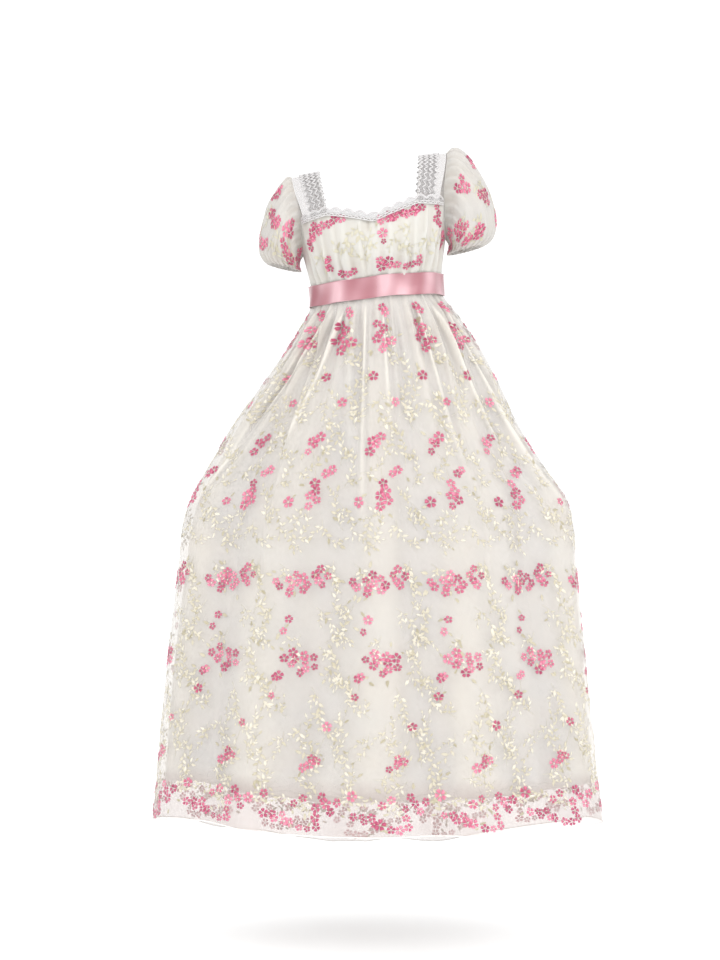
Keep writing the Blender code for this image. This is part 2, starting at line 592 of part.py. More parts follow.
def make_strap_lace(name, side, material):
    """A lace band with zigzag edges, laid on the net along the neck."""
    walk = np.linspace(0, 1, 41)
    length = np.linalg.norm(np.diff(yoke(side, 0 * walk, walk), axis=0), axis=1).sum()
    count = 2 * int(length / STRAP_ZIGZAG_PITCH)
    along = np.linspace(0.045, 0.955, count + 1)
    swing = STRAP_ZIGZAG_DEPTH / np.linalg.norm(yoke(side, 1 + 0 * along, along) - yoke(side, 0 * along, along), axis=1)
    swing = swing * np.where(np.arange(count + 1) % 2 == 1, 1, -1)
    across = np.stack([swing - 0.04, 0 * swing + 0.2, 0 * swing + 0.4, swing + STRAP_LACE_WIDTH], axis=1)
    along = along[:, None] + 0 * across
    normal = yoke_facing(side, across, along)
    outer = yoke(side, across, along) + normal * (STRAP_LACE_STAND + LACE_THICK)
    add_wall(name, outer, outer - normal * LACE_THICK, False, material)


def make_neck_lace(material):
    """Scalloped lace along the front neckline, half on the bodice and half standing above it."""
    steps = NECK_SCALLOPS * 5
    turns = np.linspace(-0.1735, 0.1735, steps + 1)
    edge = front_top(turns)
    scallop = NECK_LACE_ABOVE + NECK_SCALLOP_HEIGHT * np.abs(np.sin(np.pi * np.arange(steps + 1) / 5))
    rises = np.stack([edge - NECK_LACE_BELOW, edge, edge + scallop])
    outer, inner = (
        bodice(turns[None, :], np.minimum(rises, edge), push=push, folded=0.0)
        + np.array([0, 0, 1]) * np.maximum(rises - edge, 0)[..., None]
        for push in (NECK_LACE_STAND + LACE_THICK, NECK_LACE_STAND)
    )
    add_wall("neck_lace", outer, inner, False, material)


def main():
    for old in list(bpy.data.objects):
        bpy.data.objects.remove(old)
    floral = cloth_material("floral_overlay", (0.86, 0.85, 0.80), 0.60)
    ivory = cloth_material("ivory_lining", (0.90, 0.91, 0.90), 0.45)
    net = cloth_material("shoulder_net", (0.78, 0.72, 0.70), 0.70)
    lace = cloth_material("white_lace", (0.90, 0.89, 0.89), 0.60)
    satin = cloth_material("pink_satin", (0.78, 0.40, 0.48), 0.28)
    make_bodice(floral)
    make_skirt("skirt", overlay, SKIRT_GATHERS, SKIRT_ROWS, SKIRT_THICK, floral)
    make_skirt("lining", lining, LINING_GATHERS, LINING_ROWS, LINING_THICK, ivory)
    make_belt(satin)
    make_sleeve("sleeve_right", RIGHT_SLEEVE, 1, floral)
    make_sleeve("sleeve_left", LEFT_SLEEVE, -1, floral)
    for name, side in (("right", 1), ("left", -1)):
        make_yoke(f"yoke_{name}", side, net)
        make_strap_lace(f"strap_lace_{name}", side, lace)
    make_neck_lace(lace)


main()
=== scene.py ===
import bpy
import numpy as np
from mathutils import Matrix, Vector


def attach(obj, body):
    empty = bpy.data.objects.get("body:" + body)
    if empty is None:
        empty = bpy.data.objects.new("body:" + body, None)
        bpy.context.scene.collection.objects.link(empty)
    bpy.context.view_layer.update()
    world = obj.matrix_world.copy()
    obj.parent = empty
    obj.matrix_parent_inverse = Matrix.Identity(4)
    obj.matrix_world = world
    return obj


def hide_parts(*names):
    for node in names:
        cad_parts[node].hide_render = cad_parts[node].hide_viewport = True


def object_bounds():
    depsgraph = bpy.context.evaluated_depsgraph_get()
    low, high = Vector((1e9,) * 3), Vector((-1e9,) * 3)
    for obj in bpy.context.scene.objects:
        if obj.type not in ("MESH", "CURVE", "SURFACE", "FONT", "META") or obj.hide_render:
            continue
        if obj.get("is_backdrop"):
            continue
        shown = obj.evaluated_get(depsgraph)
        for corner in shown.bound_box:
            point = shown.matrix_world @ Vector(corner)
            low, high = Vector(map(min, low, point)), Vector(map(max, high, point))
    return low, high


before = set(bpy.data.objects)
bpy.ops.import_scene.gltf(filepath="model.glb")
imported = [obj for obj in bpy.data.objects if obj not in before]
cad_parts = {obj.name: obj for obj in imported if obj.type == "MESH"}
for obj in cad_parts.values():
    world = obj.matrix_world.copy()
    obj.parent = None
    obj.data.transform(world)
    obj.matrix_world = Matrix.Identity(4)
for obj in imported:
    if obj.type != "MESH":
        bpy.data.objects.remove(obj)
CAD_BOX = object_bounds()

# Skirt lining
# The lining is a plain ivory cloth, cut in a front and a back panel and joined at the side seams.
# It hangs from the waist seam inside the sheer skirt and ends 50 to 80 mm above its hem.
# Its rings are the sheer skirt's own, drawn in, so both follow one table.

SKIRT_COLUMNS = ("level", "right", "left", "front", "back", "pinch", "roll", "gather", "broad")
SKIRT_RINGS = (
    (-0.2455, 0.1270, 0.1270, 0.1000, 0.0900, -0.06, 5.6, 0.0011, 0.0000),
    (-0.2675, 0.1290, 0.1290, 0.1030, 0.0910, -0.06, 5.2, 0.0012, 0.0000),
    (-0.2900, 0.1450, 0.1370, 0.1110, 0.1000, -0.02, 4.4, 0.0034, 0.0000),
    (-0.3460, 0.1865, 0.1695, 0.1200, 0.1150, 0.08, 2.4, 0.0034, 0.0010),
    (-0.4240, 0.2325, 0.2235, 0.1300, 0.1330, 0.20, 1.0, 0.0022, 0.0025),
    (-0.5080, 0.2745, 0.2835, 0.1380, 0.1480, 0.34, 0.3, 0.0013, 0.0035),
    (-0.5850, 0.3245, 0.3275, 0.1440, 0.1580, 0.46, 0.0, 0.0008, 0.0035),
    (-0.6500, 0.3700, 0.3640, 0.1500, 0.1660, 0.52, 0.0, 0.0006, 0.0040),
    (-0.7050, 0.3835, 0.3795, 0.1545, 0.1715, 0.46, 0.0, 0.0005, 0.0045),
    (-0.7690, 0.3885, 0.3865, 0.1610, 0.1780, 0.38, 0.0, 0.0004, 0.0050),
    (-0.9250, 0.4025, 0.4035, 0.1730, 0.1920, 0.22, 0.0, 0.0003, 0.0060),
    (-1.0900, 0.4185, 0.4185, 0.1830, 0.2060, 0.12, 0.0, 0.0002, 0.0070),
    (-1.2150, 0.4320, 0.4275, 0.1930, 0.2170, 0.07, 0.0, 0.0002, 0.0075),
    (-1.2740, 0.4375, 0.4325, 0.2220, 0.2400, 0.05, 0.0, 0.0002, 0.0080),
)
SEAM_X = 0.0155
HEM_DROP_BACK = 0.084
HEM_LIFT = 0.022
HEM_LIFT_X = -0.345
HEM_LIFT_WIDTH = 0.10
LINING_REACH = 0.923
LINING_DROP_FRONT = 0.029
LINING_CLEARANCE = 0.0035
LINING_COLUMNS = ("share", "side_in", "face_in")
LINING_INSET = (
    (0.000, 0.0040, 0.0040),
    (0.025, 0.0050, 0.0052),
    (0.080, 0.0063, 0.0130),
    (0.200, 0.0080, 0.0130),
    (0.400, 0.0115, 0.0130),
    (0.600, 0.0100, 0.0140),
    (1.000, 0.0110, 0.0175),
)


def smooth(table, names, name, at):
    """The named column at places in the first column, on a smooth curve through the rows."""
    x = np.array([row[0] for row in table])
    y = np.array([row[names.index(name)] for row in table])
    if x[0] > x[-1]:
        x, y = x[::-1], y[::-1]
    slope = np.gradient(y, x)
    at = np.clip(at, x[0], x[-1])
    i = np.clip(np.searchsorted(x, at) - 1, 0, len(x) - 2)
    span = x[i + 1] - x[i]
    t = (at - x[i]) / span
    level = y[i] * (1 + 2 * t) * (1 - t) ** 2 + y[i + 1] * t * t * (3 - 2 * t)
    return level + span * (slope[i] * t * (1 - t) ** 2 - slope[i + 1] * t * t * (1 - t))


def quarter(reach, depth, pinch, steps):
    """Sideways and outward distances of a quarter ring, at even steps from its centre line to its side."""
    angle = np.linspace(0, np.pi / 2, 300)
    side = reach * np.sin(angle)
    out = depth * np.cos(angle) * (1 - pinch * np.sin(angle) ** 2)
    along = np.concatenate([[0], np.cumsum(np.hypot(np.diff(side), np.diff(out)))])
    wanted = np.linspace(0, along[-1], steps)
    return np.interp(wanted, along, side), np.interp(wanted, along, out)


class Rings:
    """Closed rings worked out from a table, looked up by turn and by the table's first column."""

    STEPS = 193
    LEVELS = 241

    def __init__(self, table, names):
        first = [row[0] for row in table]
        self.levels = np.linspace(min(first), max(first), self.LEVELS)
        sizes = {n: smooth(table, names, n, self.levels) for n in names[1:]}
        quarters = (("right", "front"), ("right", "back"), ("left", "back"), ("left", "front"))
        self.walks = np.array([
            [quarter(*entry, self.STEPS) for entry in zip(sizes[reach], sizes[depth], sizes["pinch"])]
            for reach, depth in quarters
        ])

    def at(self, turn, level):
        """X and Y of the plain ring."""
        turn, level = np.broadcast_arrays(np.asarray(turn, float) % 1.0, np.asarray(level, float))
        q = np.clip((turn * 4).astype(int), 0, 3)
        share = turn * 4 - q
        share = np.where(q % 2 == 1, 1 - share, share) * (self.STEPS - 1)
        row = np.clip(level, self.levels[0], self.levels[-1]) - self.levels[0]
        row = row / (self.levels[1] - self.levels[0])
        i = np.clip(share.astype(int), 0, self.STEPS - 2)
        j = np.clip(row.astype(int), 0, self.LEVELS - 2)
        a, b = share - i, row - j
        found = []
        for part in (0, 1):
            w = self.walks[:, :, part]
            low = w[q, j, i] * (1 - a) + w[q, j, i + 1] * a
            high = w[q, j + 1, i] * (1 - a) + w[q, j + 1, i + 1] * a
            found.append(low * (1 - b) + high * b)
        return np.where(q < 2, found[0], -found[0]), np.where((q == 1) | (q == 2), found[1], -found[1])

    def facing(self, turn, level, step=0.003):
        """The ring's outward direction in plan."""
        ahead, behind = self.at(turn + step, level), self.at(turn - step, level)
        nx, ny = ahead[1] - behind[1], behind[0] - ahead[0]
        size = np.hypot(nx, ny)
        return nx / size, ny / size


CROWDING_WIDE = 0.0085
CROWDING_CLOSE = 0.0022
SPREAD_ROUNDS = 14


def crowd(even):
    """Turns of evenly counted gathers, packed a little unevenly with every seam kept in place."""
    return even + CROWDING_WIDE * np.sin(8 * np.pi * even) + CROWDING_CLOSE * np.sin(40 * np.pi * even)


def spread(turn):
    """The opposite of crowd."""
    even = turn
    for _ in range(SPREAD_ROUNDS):
        even = turn - (crowd(even) - even)
    return even


FOLD_COLUMNS = ("turn_top", "turn_end", "end_share", "height", "width_top", "width_end")
LONG_FOLDS = (
    (-0.062, -0.036, 0.36, 0.0106, 0.0080, 0.0100),
    (-0.020, -0.008, 0.46, 0.0063, 0.0065, 0.0100),
    (0.034, 0.052, 0.40, -0.0063, 0.0070, 0.0100),
    (0.068, 0.092, 0.36, 0.0085, 0.0080, 0.0110),
    (0.112, 0.150, 0.34, 0.0063, 0.0070, 0.0100),
    (0.145, 0.190, 0.42, 0.0100, 0.0100, 0.0110),
    (0.192, 0.236, 0.42, 0.0075, 0.0090, 0.0100),
    (-0.090, -0.130, 0.36, 0.0069, 0.0070, 0.0110),
    (-0.108, -0.222, 0.42, 0.0106, 0.0095, 0.0100),
    (-0.135, -0.232, 0.40, -0.0063, 0.0080, 0.0080),
    (-0.165, -0.240, 0.42, 0.0100, 0.0095, 0.0090),
    (0.330, 0.270, 0.42, 0.0075, 0.0120, 0.0110),
    (0.380, 0.350, 0.40, 0.0063, 0.0090, 0.0120),
    (0.430, 0.440, 0.46, -0.0069, 0.0100, 0.0140),
    (0.490, 0.495, 0.46, 0.0069, 0.0090, 0.0130),
    (0.545, 0.555, 0.42, 0.0075, 0.0110, 0.0140),
    (0.610, 0.640, 0.40, 0.0063, 0.0090, 0.0120),
    (0.660, 0.728, 0.42, 0.0075, 0.0120, 0.0110),
    (-0.118, -0.237, 0.42, 0.0052, 0.0036, 0.0040),
    (-0.150, -0.228, 0.40, 0.0046, 0.0036, 0.0040),
    (-0.078, -0.140, 0.34, 0.0036, 0.0032, 0.0045),
    (-0.030, -0.016, 0.48, 0.0046, 0.0034, 0.0045),
    (0.012, 0.020, 0.30, 0.0036, 0.0030, 0.0045),
    (0.090, 0.120, 0.38, 0.0040, 0.0034, 0.0045),
    (0.132, 0.206, 0.42, 0.0048, 0.0036, 0.0040),
    (0.172, 0.236, 0.42, 0.0050, 0.0036, 0.0040),
    (0.352, 0.300, 0.40, 0.0042, 0.0036, 0.0045),
    (0.460, 0.470, 0.44, 0.0042, 0.0036, 0.0045),
    (0.570, 0.585, 0.40, 0.0040, 0.0036, 0.0045),
    (0.635, 0.700, 0.42, 0.0046, 0.0036, 0.0045),
)


def named(columns, table):
    """The rows of a table, each as a dictionary of its columns."""
    return [dict(zip(columns, row)) for row in table]


def turns_apart(turn, centre):
    """How far a turn lies from another, between minus and plus half a turn."""
    return (turn - centre + 0.5) % 1.0 - 0.5


def fold_shapes(turn, share):
    """Each long fold and its shape at places of the skirt: a ridge of height 1 beside a shallower valley."""
    for fold in named(FOLD_COLUMNS, LONG_FOLDS):
        run = np.clip(share / fold["end_share"], 0, 1)
        centre = fold["turn_top"] + (fold["turn_end"] - fold["turn_top"]) * run
        width = fold["width_top"] + (fold["width_end"] - fold["width_top"]) * run
        away = turns_apart(turn, centre) / width
        fade = (1 - run * run) * np.clip((share - 0.022) / 0.04, 0, 1)
        yield fold, fade * (np.exp(-away ** 2) - 0.5 * np.exp(-(away - 1.7) ** 2))


def long_folds(turn, share):
    """Height of the folds that run down from the waist."""
    return sum(fold["height"] * shape for fold, shape in fold_shapes(turn, share))


SKIRT = Rings(SKIRT_RINGS, SKIRT_COLUMNS)
SKIRT_GATHERS = 32


def skirt_level(share):
    top, hem = SKIRT_RINGS[0][0], SKIRT_RINGS[-1][0]
    return top + (hem - top) * np.asarray(share, float)


def skirt_folds(turn, share):
    """How far the sheer skirt stands out of its plain ring."""
    level = skirt_level(share)
    gather, broad = (smooth(SKIRT_RINGS, SKIRT_COLUMNS, n, level) for n in ("gather", "broad"))
    phase = 2 * np.pi * SKIRT_GATHERS * spread(turn)
    deep = gather * (np.cos(phase) + 0.3 * np.cos(2 * phase + 0.8))
    deep = deep * (0.85 + 0.35 * np.sin(2 * np.pi * 7 * turn + 1.1))
    deep = deep + broad * np.sin(2 * np.pi * 9 * turn + 0.9 + 1.4 * share)
    deep = deep + 0.45 * broad * np.sin(2 * np.pi * 14 * turn + 2.1 - 2.0 * share)
    return deep + long_folds(turn, share)


def hang(x, y, share, front_drop=0.0):
    """Points at ring places of the skirt: tilted with the waist, longer behind, lifted at the -X side."""
    level = skirt_level(share)
    roll = np.radians(smooth(SKIRT_RINGS, SKIRT_COLUMNS, "roll", level))
    front, back = (smooth(SKIRT_RINGS, SKIRT_COLUMNS, n, level) for n in ("front", "back"))
    ahead = np.clip(-y / front, 0, 1)
    drop = (front_drop * ahead ** 2 + HEM_DROP_BACK * np.clip(y / back, 0, 1) ** 2) * share
    drop = drop - HEM_LIFT * np.exp(-((x - HEM_LIFT_X) / HEM_LIFT_WIDTH) ** 2) * np.sqrt(ahead) * share ** 2
    return np.stack(np.broadcast_arrays(
        SEAM_X + x * np.cos(roll), y, level + x * np.sin(roll) - drop), axis=-1)


def lining(turn, up):
    """Points of the lining. Up is the share of the way to its hem, below zero so that it grows upward."""
    share = -up * LINING_REACH
    level = skirt_level(share)
    x, y = SKIRT.at(turn, level)
    side_in, face_in = (smooth(LINING_INSET, LINING_COLUMNS, n, -up) for n in ("side_in", "face_in"))
    reach = np.where(x > 0, *(smooth(SKIRT_RINGS, SKIRT_COLUMNS, n, level) for n in ("right", "left")))
    depth = np.where(y > 0, *(smooth(SKIRT_RINGS, SKIRT_COLUMNS, n, level) for n in ("back", "front")))
    soft = 0.0009 * np.cos(2 * np.pi * 16 * spread(turn))
    deep = np.clip((share - 0.06) / 0.3, 0, 1)
    soft = soft + deep * (0.0048 * np.sin(2 * np.pi * 11 * turn + 1.5 * share)
                          + 0.0032 * np.sin(2 * np.pi * 19 * turn + 1.0 - 2.0 * share))
    soft = soft - 0.8 * long_folds(turn, share)
    clear = LINING_CLEARANCE - np.minimum(side_in, face_in)
    clear = clear - skirt_folds(turn, share) * np.clip(share / 0.05, 0, 1)
    soft = (soft + clear + np.hypot(soft - clear, 0.001)) / 2
    x, y = x * (1 - (side_in + soft) / reach), y * (1 - (face_in + soft) / depth)
    return hang(x, y, share, LINING_DROP_FRONT)


def facing_of(surface, a, b, step_a=0.0006, step_b=0.0006):
    """The outward unit directions of a surface whose first parameter runs anticlockwise and second upward."""
    across = surface(a + step_a, b) - surface(a - step_a, b)
    along = surface(a, b + step_b) - surface(a, b - step_b)
    normal = np.cross(across, along)
    return normal / np.maximum(np.linalg.norm(normal, axis=-1, keepdims=True), 1e-12)


def add_mesh(name, points, faces, materials, uv=None, tone=None, slots=None):
    """A mesh from arrays, smooth-shaded. Faces is a list of index arrays, one for each number of corners."""
    mesh = bpy.data.meshes.new(name)
    corners = np.concatenate([f.ravel() for f in faces])
    counts = np.concatenate([np.full(len(f), f.shape[1]) for f in faces])
    mesh.vertices.add(len(points))
    mesh.vertices.foreach_set("co", np.asarray(points, np.float32).ravel())
    mesh.loops.add(len(corners))
    mesh.loops.foreach_set("vertex_index", corners.astype(np.int32))
    mesh.polygons.add(len(counts))
    mesh.polygons.foreach_set("loop_start", np.concatenate([[0], np.cumsum(counts)[:-1]]).astype(np.int32))
    mesh.polygons.foreach_set("loop_total", counts.astype(np.int32))
    for material in materials:
        mesh.materials.append(material)
    if slots is not None:
        mesh.polygons.foreach_set("material_index", slots.astype(np.int32))
    mesh.update(calc_edges=True)
    mesh.validate()
    if uv is not None:
        layer = mesh.uv_layers.new(name="cloth")
        layer.data.foreach_set("uv", np.asarray(uv, np.float32)[corners].ravel())
    if tone is not None:
        mesh.attributes.new("tone", "FLOAT", "POINT").data.foreach_set("value", np.asarray(tone, np.float32))
    mesh.shade_smooth()
    piece = bpy.data.objects.new(name, mesh)
    bpy.context.scene.collection.objects.link(piece)
    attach(piece, "root")
    return piece


def grid_faces(rows, cols, closed=False):
    """Quads of a grid, anticlockwise seen from outside when columns run anticlockwise and rows downward."""
    row = np.arange(rows - 1)[:, None] * cols
    c = np.arange(cols if closed else cols - 1)[None, :]
    d = (c + 1) % cols
    below = row + cols
    return np.stack([below + c, below + d, row + d, row + c], axis=-1).reshape(-1, 4)


def map_of(u, v):
    """Two arrays that fit each other, as rows of map places."""
    return np.stack(np.broadcast_arrays(u, v), axis=-1).reshape(-1, 2)


def add_sheet(name, surface, a, b, uv_size, material, closed=False, tone=None):
    """A shell of one surface on a grid of its two parameters, with the cloth's own metres as its map."""
    points = surface(a, b)
    rows, cols = points.shape[:2]
    uv = map_of(a * uv_size[0], b * uv_size[1])
    tone = None if tone is None else np.broadcast_to(tone(a, b), (rows, cols)).ravel()
    return add_mesh(name, points.reshape(-1, 3), [grid_faces(rows, cols, closed)], [material], uv, tone)


def add_cords(name, lines, radius, material, closed=False, corners=8, flat=1.0):
    """Round or flattened cords along lines of points, joined in one mesh. Flat above 1 widens them."""
    points, faces, uvs, base = [], [], [], 0
    angle = 2 * np.pi * np.arange(corners) / corners
    cos, sin = np.cos(angle)[None, :, None], np.sin(angle)[None, :, None]
    for centres in lines:
        if closed:
            along = np.roll(centres, -1, axis=0) - np.roll(centres, 1, axis=0)
        else:
            along = np.gradient(centres, axis=0)
        along = along / np.maximum(np.linalg.norm(along, axis=1, keepdims=True), 1e-9)
        side = np.cross(along, [0.02, 0.03, 1.0])
        side /= np.maximum(np.linalg.norm(side, axis=1, keepdims=True), 1e-9)
        over = np.cross(side, along)
        ring = over[:, None] * cos * flat + side[:, None] * sin
        n = len(centres)
        points.append((centres[:, None] + radius * ring).reshape(-1, 3))
        r = np.arange(n if closed else n - 1)[:, None]
        s = (r + 1) % n
        c = np.arange(corners)[None, :]
        d = (c + 1) % corners
        quads = np.stack([r * corners + c, r * corners + d, s * corners + d, s * corners + c], axis=-1)
        faces.append(quads.reshape(-1, 4) + base)
        walk = np.concatenate([[0], np.cumsum(np.linalg.norm(np.diff(centres, axis=0), axis=1))])
        uvs.append(map_of(walk[:, None], c * radius * 0.8))
        base += n * corners
    points = np.concatenate(points)
    full_tone = np.ones(len(points))
    return add_mesh(name, points, [np.concatenate(faces)], [material], np.concatenate(uvs), full_tone)


class Wire:
    """A shader value that can be added to, multiplied and so on: every sum adds the Math node it needs."""

    def __init__(self, finish, socket):
        self.finish, self.socket = finish, socket

    def math(self, operation, a, b=0.0):
        return self.finish.node("ShaderNodeMath", {"operation": operation}, {0: a, 1: b})

    def __add__(self, other):
        return self.math("ADD", self, other)

    def __sub__(self, other):
        return self.math("SUBTRACT", self, other)

    def __rsub__(self, other):
        return self.math("SUBTRACT", other, self)

    def __mul__(self, other):
        return self.math("MULTIPLY", self, other)

    def __pow__(self, other):
        return self.math("POWER", self, other)

    __radd__ = __add__
    __rmul__ = __mul__

    def wave(self):
        """A smooth wave from 0 to 1 as the value grows by 1."""
        return self.math("SINE", self * (2 * np.pi)) * 0.5 + 0.5


class Finish:
    """A new material or world. node() adds any node: its settings are made first, then its sockets filled."""

    SURFACE = ("ShaderNodeBsdfPrincipled", "ShaderNodeOutputMaterial")

    def __init__(self, name, owners=bpy.data.materials, kinds=SURFACE):
        self.owner = owners.new(name)
        self.owner.use_nodes = True
        self.tree = self.owner.node_tree
        self.tree.nodes.clear()
        self.shader, output = (self.tree.nodes.new(kind) for kind in kinds)
        self.tree.links.new(self.shader.outputs[0], output.inputs[0])

    def node(self, kind, settings=None, inputs=None, output=0):
        node = self.tree.nodes.new(kind)
        for key, value in (settings or {}).items():
            if key == "stops":
                for _ in value[2:]:
                    node.color_ramp.elements.new(1.0)
                for stop, (at, colour) in zip(node.color_ramp.elements, value):
                    stop.position = at
                    stop.color = (*colour, 1)
            else:
                setattr(node, key, value)
        self.fill(node, inputs or {})
        return Wire(self, node.outputs[output])

    def fill(self, node, inputs):
        for key, value in inputs.items():
            if isinstance(value, Wire):
                self.tree.links.new(value.socket, node.inputs[key])
            elif isinstance(value, tuple) and len(value) == 3 and node.inputs[key].type == "RGBA":
                node.inputs[key].default_value = (*value, 1)
            else:
                node.inputs[key].default_value = value

    def ramp(self, share, stops):
        return self.node("ShaderNodeValToRGB", {"stops": stops}, {0: share})

    def blend(self, share, first, second):
        return self.node("ShaderNodeMix", {"data_type": "RGBA"}, {0: share, 6: first, 7: second}, 2)

    def noise(self, scale, detail=2.0):
        place = self.node("ShaderNodeTexCoord", output=3)
        return self.node("ShaderNodeTexNoise", inputs={"Vector": place, "Scale": scale, "Detail": detail})

    def cloth_map(self):
        """The cloth's own metres, along its width and its length."""
        split = self.tree.nodes.new("ShaderNodeSeparateXYZ")
        self.fill(split, {0: self.node("ShaderNodeUVMap", {"uv_map": "cloth"})})
        return Wire(self, split.outputs[0]), Wire(self, split.outputs[1])

    def tone(self):
        return self.node("ShaderNodeAttribute", {"attribute_name": "tone"}, output=2)

    def done(self, **sockets):
        self.fill(self.shader, {key.replace("_", " "): value for key, value in sockets.items()})
        return self.owner

    def cloth(self, colour, threads, rough, relief, **sockets):
        """A finished cloth. Rough: least roughness and what threads add. Relief: their strength and depth."""
        least, added = rough
        strength, depth = relief
        inputs = {"Strength": strength, "Distance": depth, "Height": threads}
        bump = self.node("ShaderNodeBump", inputs=inputs)
        return self.done(Base_Color=colour, Roughness=least + added * threads, Normal=bump, **sockets)


def lining_finish():
    """Ivory cloth, a little warmer and cooler by turns, with a fine diagonal weave."""
    f = Finish("ivory_lining")
    u, v = f.cloth_map()
    weave = (u * 900 + v * 900).wave() * 0.6 + (u * 900 - v * 900).wave() * 0.4
    patches = f.noise(9.0)
    colour = f.blend(patches, (0.61, 0.60, 0.595), (0.675, 0.64, 0.585))
    return f.cloth(colour, weave, (0.46, 0.1), (0.25, 0.0004), Sheen_Weight=0.15)


CLOTH_START = 0.0002
LINING_GRID = (241, 90)
LINING_MAP = (2.0, 0.96)
LINING_HEM_RADIUS = 0.0009
HEM_STEPS = 600
TURNED_HEM = 0.988
LINING_CLOTH = lining_finish()
for side, start in (("front", -0.25), ("back", 0.25)):
    turns = crowd(np.linspace(start, start + 0.5, LINING_GRID[0]))[None, :]
    ups = -np.linspace(CLOTH_START, 1, LINING_GRID[1])[:, None]
    piece = add_sheet(f"skirt_lining_{side}", lining, turns, ups, LINING_MAP, LINING_CLOTH)
    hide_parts(f"lining_{side}")
hem_turns = np.linspace(0, 1, HEM_STEPS, endpoint=False)
turned_hem = [lining(hem_turns, np.full(HEM_STEPS, -up)) for up in (1.0, TURNED_HEM)]
lining_hem = add_cords("lining_hem_edge", turned_hem, LINING_HEM_RADIUS, LINING_CLOTH, closed=True,
                       flat=1.5)

# Sheer skirt
# The skirt is a sheer organza, a front and a back panel wider at the hem, gathered to the waist seam.
# Long folds run from the waist to the two sides, where the skirt is lifted, and die out in the smooth front.
# Its hem is a narrow roll.

def overlay(turn, up, folded=1.0):
    """Points of the sheer skirt. Up is the share taken below zero, so that it grows upward."""
    level = skirt_level(-up)
    x, y = SKIRT.at(turn, level)
    nx, ny = SKIRT.facing(turn, level)
    out = skirt_folds(turn, -up) * folded
    return hang(x + nx * out, y + ny * out, -up)


# Painted shade (low) to painted highlight (high) across the organza's folds.
PAINTED_FOLD_SHADES = (
    (0.00, (0.40, 0.345, 0.31)),
    (0.20, (0.59, 0.57, 0.56)),
    (0.75, (0.71, 0.685, 0.64)),
    (1.00, (0.84, 0.815, 0.75)),
)


def sheer_finish():
    """White organza: mostly clear between its threads, softly glossy, with a fine square weave. Its colour
    holds painted shade in the fold valleys and in the band below the lining, and painted highlight on the
    ridges.
    """
    f = Finish("sheer_organza")
    u, v = f.cloth_map()
    weave = ((u * 1100).wave() + (v * 1100).wave()) * 0.5
    clouds, ridge = f.noise(14.0), f.tone()
    # Painted shade in the fold valleys and painted highlight on their ridges; the same value also changes the
    # alpha.
    colour = f.ramp(ridge, PAINTED_FOLD_SHADES)
    colour = f.blend(clouds * 0.45, colour, (0.72, 0.63, 0.54))
    # Below the lining's hem the organza is painted darker and pinker: painted shade of the skirt's dim
    # inside, seen through it.
    below_lining = f.node("ShaderNodeMapRange", inputs={"Value": v, 1: -0.955, 2: -0.990, 3: 0.0, 4: 1.0})
    colour = f.blend(below_lining, colour, f.blend(clouds, (0.46, 0.385, 0.36), (0.54, 0.455, 0.42)))
    alpha = 0.22 + 0.12 * weave + 0.10 * clouds + 0.16 * ridge + 0.9 * (ridge - 0.5) * (ridge - 0.5)
    alpha = alpha * (1.0 - 0.10 * below_lining)
    return f.cloth(colour, weave, (0.55, 0.15), (0.2, 0.0003), Alpha=alpha, Sheen_Weight=0.35)


RIDGE_HEIGHT = 0.0045
NARROW_FOLD = 0.005


def painted_fold_tone(turn, up):
    """Painted shade and highlight of the folds: from 0 in the valleys of the folds to 1 on their ridges, with
    the narrow folds drawn most sharply.
    """
    narrow = sum(shape for fold, shape in fold_shapes(turn, -up) if fold["width_top"] < NARROW_FOLD)
    height = RIDGE_HEIGHT * (0.4 + 0.6 * np.clip(-up / 0.15, 0, 1))
    return np.clip(0.5 + 0.30 * np.tanh(skirt_folds(turn, -up) / height) + 0.42 * narrow, 0, 1)


SKIRT_GRID = (361, 140)
SKIRT_MAP = (2.26, 1.06)
SHEER_CLOTH = sheer_finish()
for side, start in (("front", -0.25), ("back", 0.25)):
    turns = crowd(np.linspace(start, start + 0.5, SKIRT_GRID[0]))[None, :]
    ups = -np.linspace(CLOTH_START, 1, SKIRT_GRID[1])[:, None] ** 1.15
    add_sheet(
        f"sheer_skirt_{side}", overlay, turns, ups, SKIRT_MAP, SHEER_CLOTH, tone=painted_fold_tone)


def rolled_hem_finish():
    """The same organza rolled over itself, so nearly solid, with slanting stitches."""
    f = Finish("rolled_hem")
    u, v = f.cloth_map()
    slant = (u * 330 + v * 900).wave()
    return f.cloth(f.blend(slant, (0.86, 0.84, 0.80), (0.93, 0.91, 0.88)), slant, (0.6, 0.1), (0.5, 0.0004))


ROLLED_HEM = rolled_hem_finish()
ROLL_STEPS = 700
ROLL_RADIUS = 0.0010
ROLL_LIFT = 0.0008
roll_turns = np.linspace(0, 1, ROLL_STEPS, endpoint=False)
hem_line = overlay(roll_turns, -np.ones(ROLL_STEPS)) + np.array([0, 0, ROLL_LIFT])
hem_roll = add_cords("skirt_hem_roll", [hem_line], ROLL_RADIUS, ROLLED_HEM, closed=True)

# Embroidery of the skirt
# Pink five-petalled blossoms and cream leaf sprays are sewn in padded satin stitch on the organza.
# The same column of motifs repeats round the skirt and closes up towards the gathered waist.
# Each blossom is five petals round a pale knot, and each spray a couched stem with twigs and leaves.

